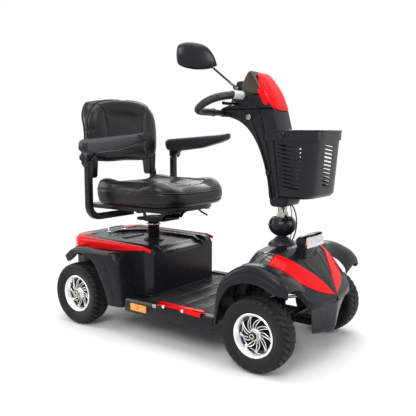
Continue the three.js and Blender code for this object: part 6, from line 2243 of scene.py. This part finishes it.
class SCOOTER_OT_stage(bpy.types.Operator):
    """Pale floor, plain studio lights, world and camera"""

    bl_idname = "scooter.stage"
    bl_label = "Stage"

    def execute(self, context):
        scene = bpy.context.scene
        scene.view_settings.view_transform = "Standard"
        self.floor()
        self.world(scene)
        for name, place, target, width, height, power in (
            ("Top", (0.1, 0.1, 2.7), (0.0, 0.0, 0.3), 2.6, 2.2, 52),
            ("Key", (0.9, -2.4, 2.1), (0.0, 0.0, 0.5), 1.6, 1.2, 42),
            ("Side", (-2.2, -1.2, 1.5), (-0.1, 0.0, 0.5), 1.0, 1.6, 20),
            ("Front", (2.6, 0.6, 1.4), (0.2, 0.0, 0.5), 1.0, 1.4, 22),
            ("Back", (-1.2, 2.3, 1.9), (0.0, 0.0, 0.6), 1.6, 1.0, 18),
        ):
            self.lamp(name, Vector(place), Vector(target), width, height, power)
        self.camera(scene)
        return {"FINISHED"}

    def floor(self):
        deselect()
        bpy.ops.mesh.primitive_grid_add(x_subdivisions=8, y_subdivisions=8, size=24)
        floor_ = added("studio_floor")
        material = bpy.data.materials.new("studio_floor")
        material.use_nodes = True
        tree = material.node_tree
        principled = tree.nodes["Principled BSDF"]
        principled.inputs["Base Color"].default_value = (0.93, 0.93, 0.93, 1)
        principled.inputs["Roughness"].default_value = 0.8
        principled.inputs["Specular IOR Level"].default_value = 0.1
        seen = looking(tree)
        place = node(tree, "ShaderNodeTexCoord").outputs["Object"]
        away = node(tree, "ShaderNodeVectorMath", {0: place}, operation="LENGTH").outputs["Value"]
        far = node(tree, "ShaderNodeMapRange", {"Value": away, "From Min": 0.75, "From Max": 1.35},
                   interpolation_type="SMOOTHSTEP")
        share = maths(tree, "MULTIPLY", far.outputs[0], seen.outputs[0])
        white = node(tree, "ShaderNodeEmission", {"Color": (1, 1, 1, 1), "Strength": 1.0})
        mix = node(tree, "ShaderNodeMixShader", {0: share.outputs[0], 1: principled.outputs[0], 2: white.outputs[0]})
        tree.links.new(mix.outputs[0], tree.nodes["Material Output"].inputs["Surface"])
        floor_.data.materials.append(material)

    def world(self, scene):
        """White wherever the eye or a mirror looks, and a plain dim sky for the light on the object."""
        world = scene.world or bpy.data.worlds.new("Studio")
        scene.world = world
        world.use_nodes = True
        tree = world.node_tree
        tree.nodes.clear()
        seen = looking(tree)
        white = node(tree, "ShaderNodeBackground", {"Color": (1, 1, 1, 1), "Strength": 1.0})
        sky = node(tree, "ShaderNodeBackground", {"Color": (1, 1, 1, 1), "Strength": 0.42})
        mix = node(tree, "ShaderNodeMixShader", {0: seen.outputs[0], 1: sky.outputs[0], 2: white.outputs[0]})
        out = node(tree, "ShaderNodeOutputWorld")
        tree.links.new(mix.outputs[0], out.inputs["Surface"])

    def lamp(self, name, place, target, width, height, power):
        deselect()
        bpy.ops.object.light_add(type="AREA", location=place)
        lamp_ = bpy.context.object
        lamp_.name = "studio_" + name.lower()
        lamp_.data.shape = "RECTANGLE"
        lamp_.data.size, lamp_.data.size_y = width, height
        lamp_.data.energy = power
        lamp_.rotation_mode = "QUATERNION"
        lamp_.rotation_quaternion = (target - place).to_track_quat("-Z", "Y")

    def camera(self, scene):
        a, e = math.radians(EYE_AZIMUTH), math.radians(EYE_PITCH)
        back = Vector((math.sin(a) * math.cos(e), -math.cos(a) * math.cos(e), math.sin(e)))
        deselect()
        bpy.ops.object.camera_add(location=EYE)
        eye = bpy.context.object
        eye.name = "studio_camera"
        eye.data.lens, eye.data.sensor_width = EYE_LENS, 36
        eye.rotation_mode = "QUATERNION"
        eye.rotation_quaternion = (-back).to_track_quat("-Z", "Y")
        scene.camera = eye


# ---- Add-on ----
OPERATORS = (
    SCOOTER_OT_stage, SCOOTER_OT_front_body, SCOOTER_OT_lamp, SCOOTER_OT_rear_body, SCOOTER_OT_footwell,
    SCOOTER_OT_wheels, SCOOTER_OT_tiller, SCOOTER_OT_head, SCOOTER_OT_handlebar, SCOOTER_OT_mirror,
    SCOOTER_OT_basket, SCOOTER_OT_seat, SCOOTER_OT_backrest, SCOOTER_OT_armrests, SCOOTER_OT_metalwork,
)


class SCOOTER_PT_panel(bpy.types.Panel):
    """Sizes, colours and builders of the scooter"""

    bl_idname = "SCOOTER_PT_panel"
    bl_label = "Mobility scooter"
    bl_space_type = "VIEW_3D"
    bl_region_type = "UI"
    bl_category = "Scooter"

    def draw(self, context):
        column = self.layout.column()
        for settings in (context.scene.scooter_sizes, context.scene.scooter_colours):
            for key in settings.__annotations__:
                column.prop(settings, key)
        for operator in OPERATORS:
            column.operator(operator.bl_idname)


CLASSES = (ScooterColours, ScooterSizes, *OPERATORS, SCOOTER_PT_panel)


def register():
    for made in CLASSES:
        bpy.utils.register_class(made)
    bpy.types.Scene.scooter_sizes = bpy.props.PointerProperty(type=ScooterSizes)
    bpy.types.Scene.scooter_colours = bpy.props.PointerProperty(type=ScooterColours)


def unregister():
    del bpy.types.Scene.scooter_sizes
    del bpy.types.Scene.scooter_colours
    for made in reversed(CLASSES):
        bpy.utils.unregister_class(made)


def main():
    register()
    for operator in OPERATORS:
        name = operator.bl_idname.split(".")[1]
        getattr(bpy.ops.scooter, name)()
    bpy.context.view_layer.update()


if __name__ == "__main__":
    main()
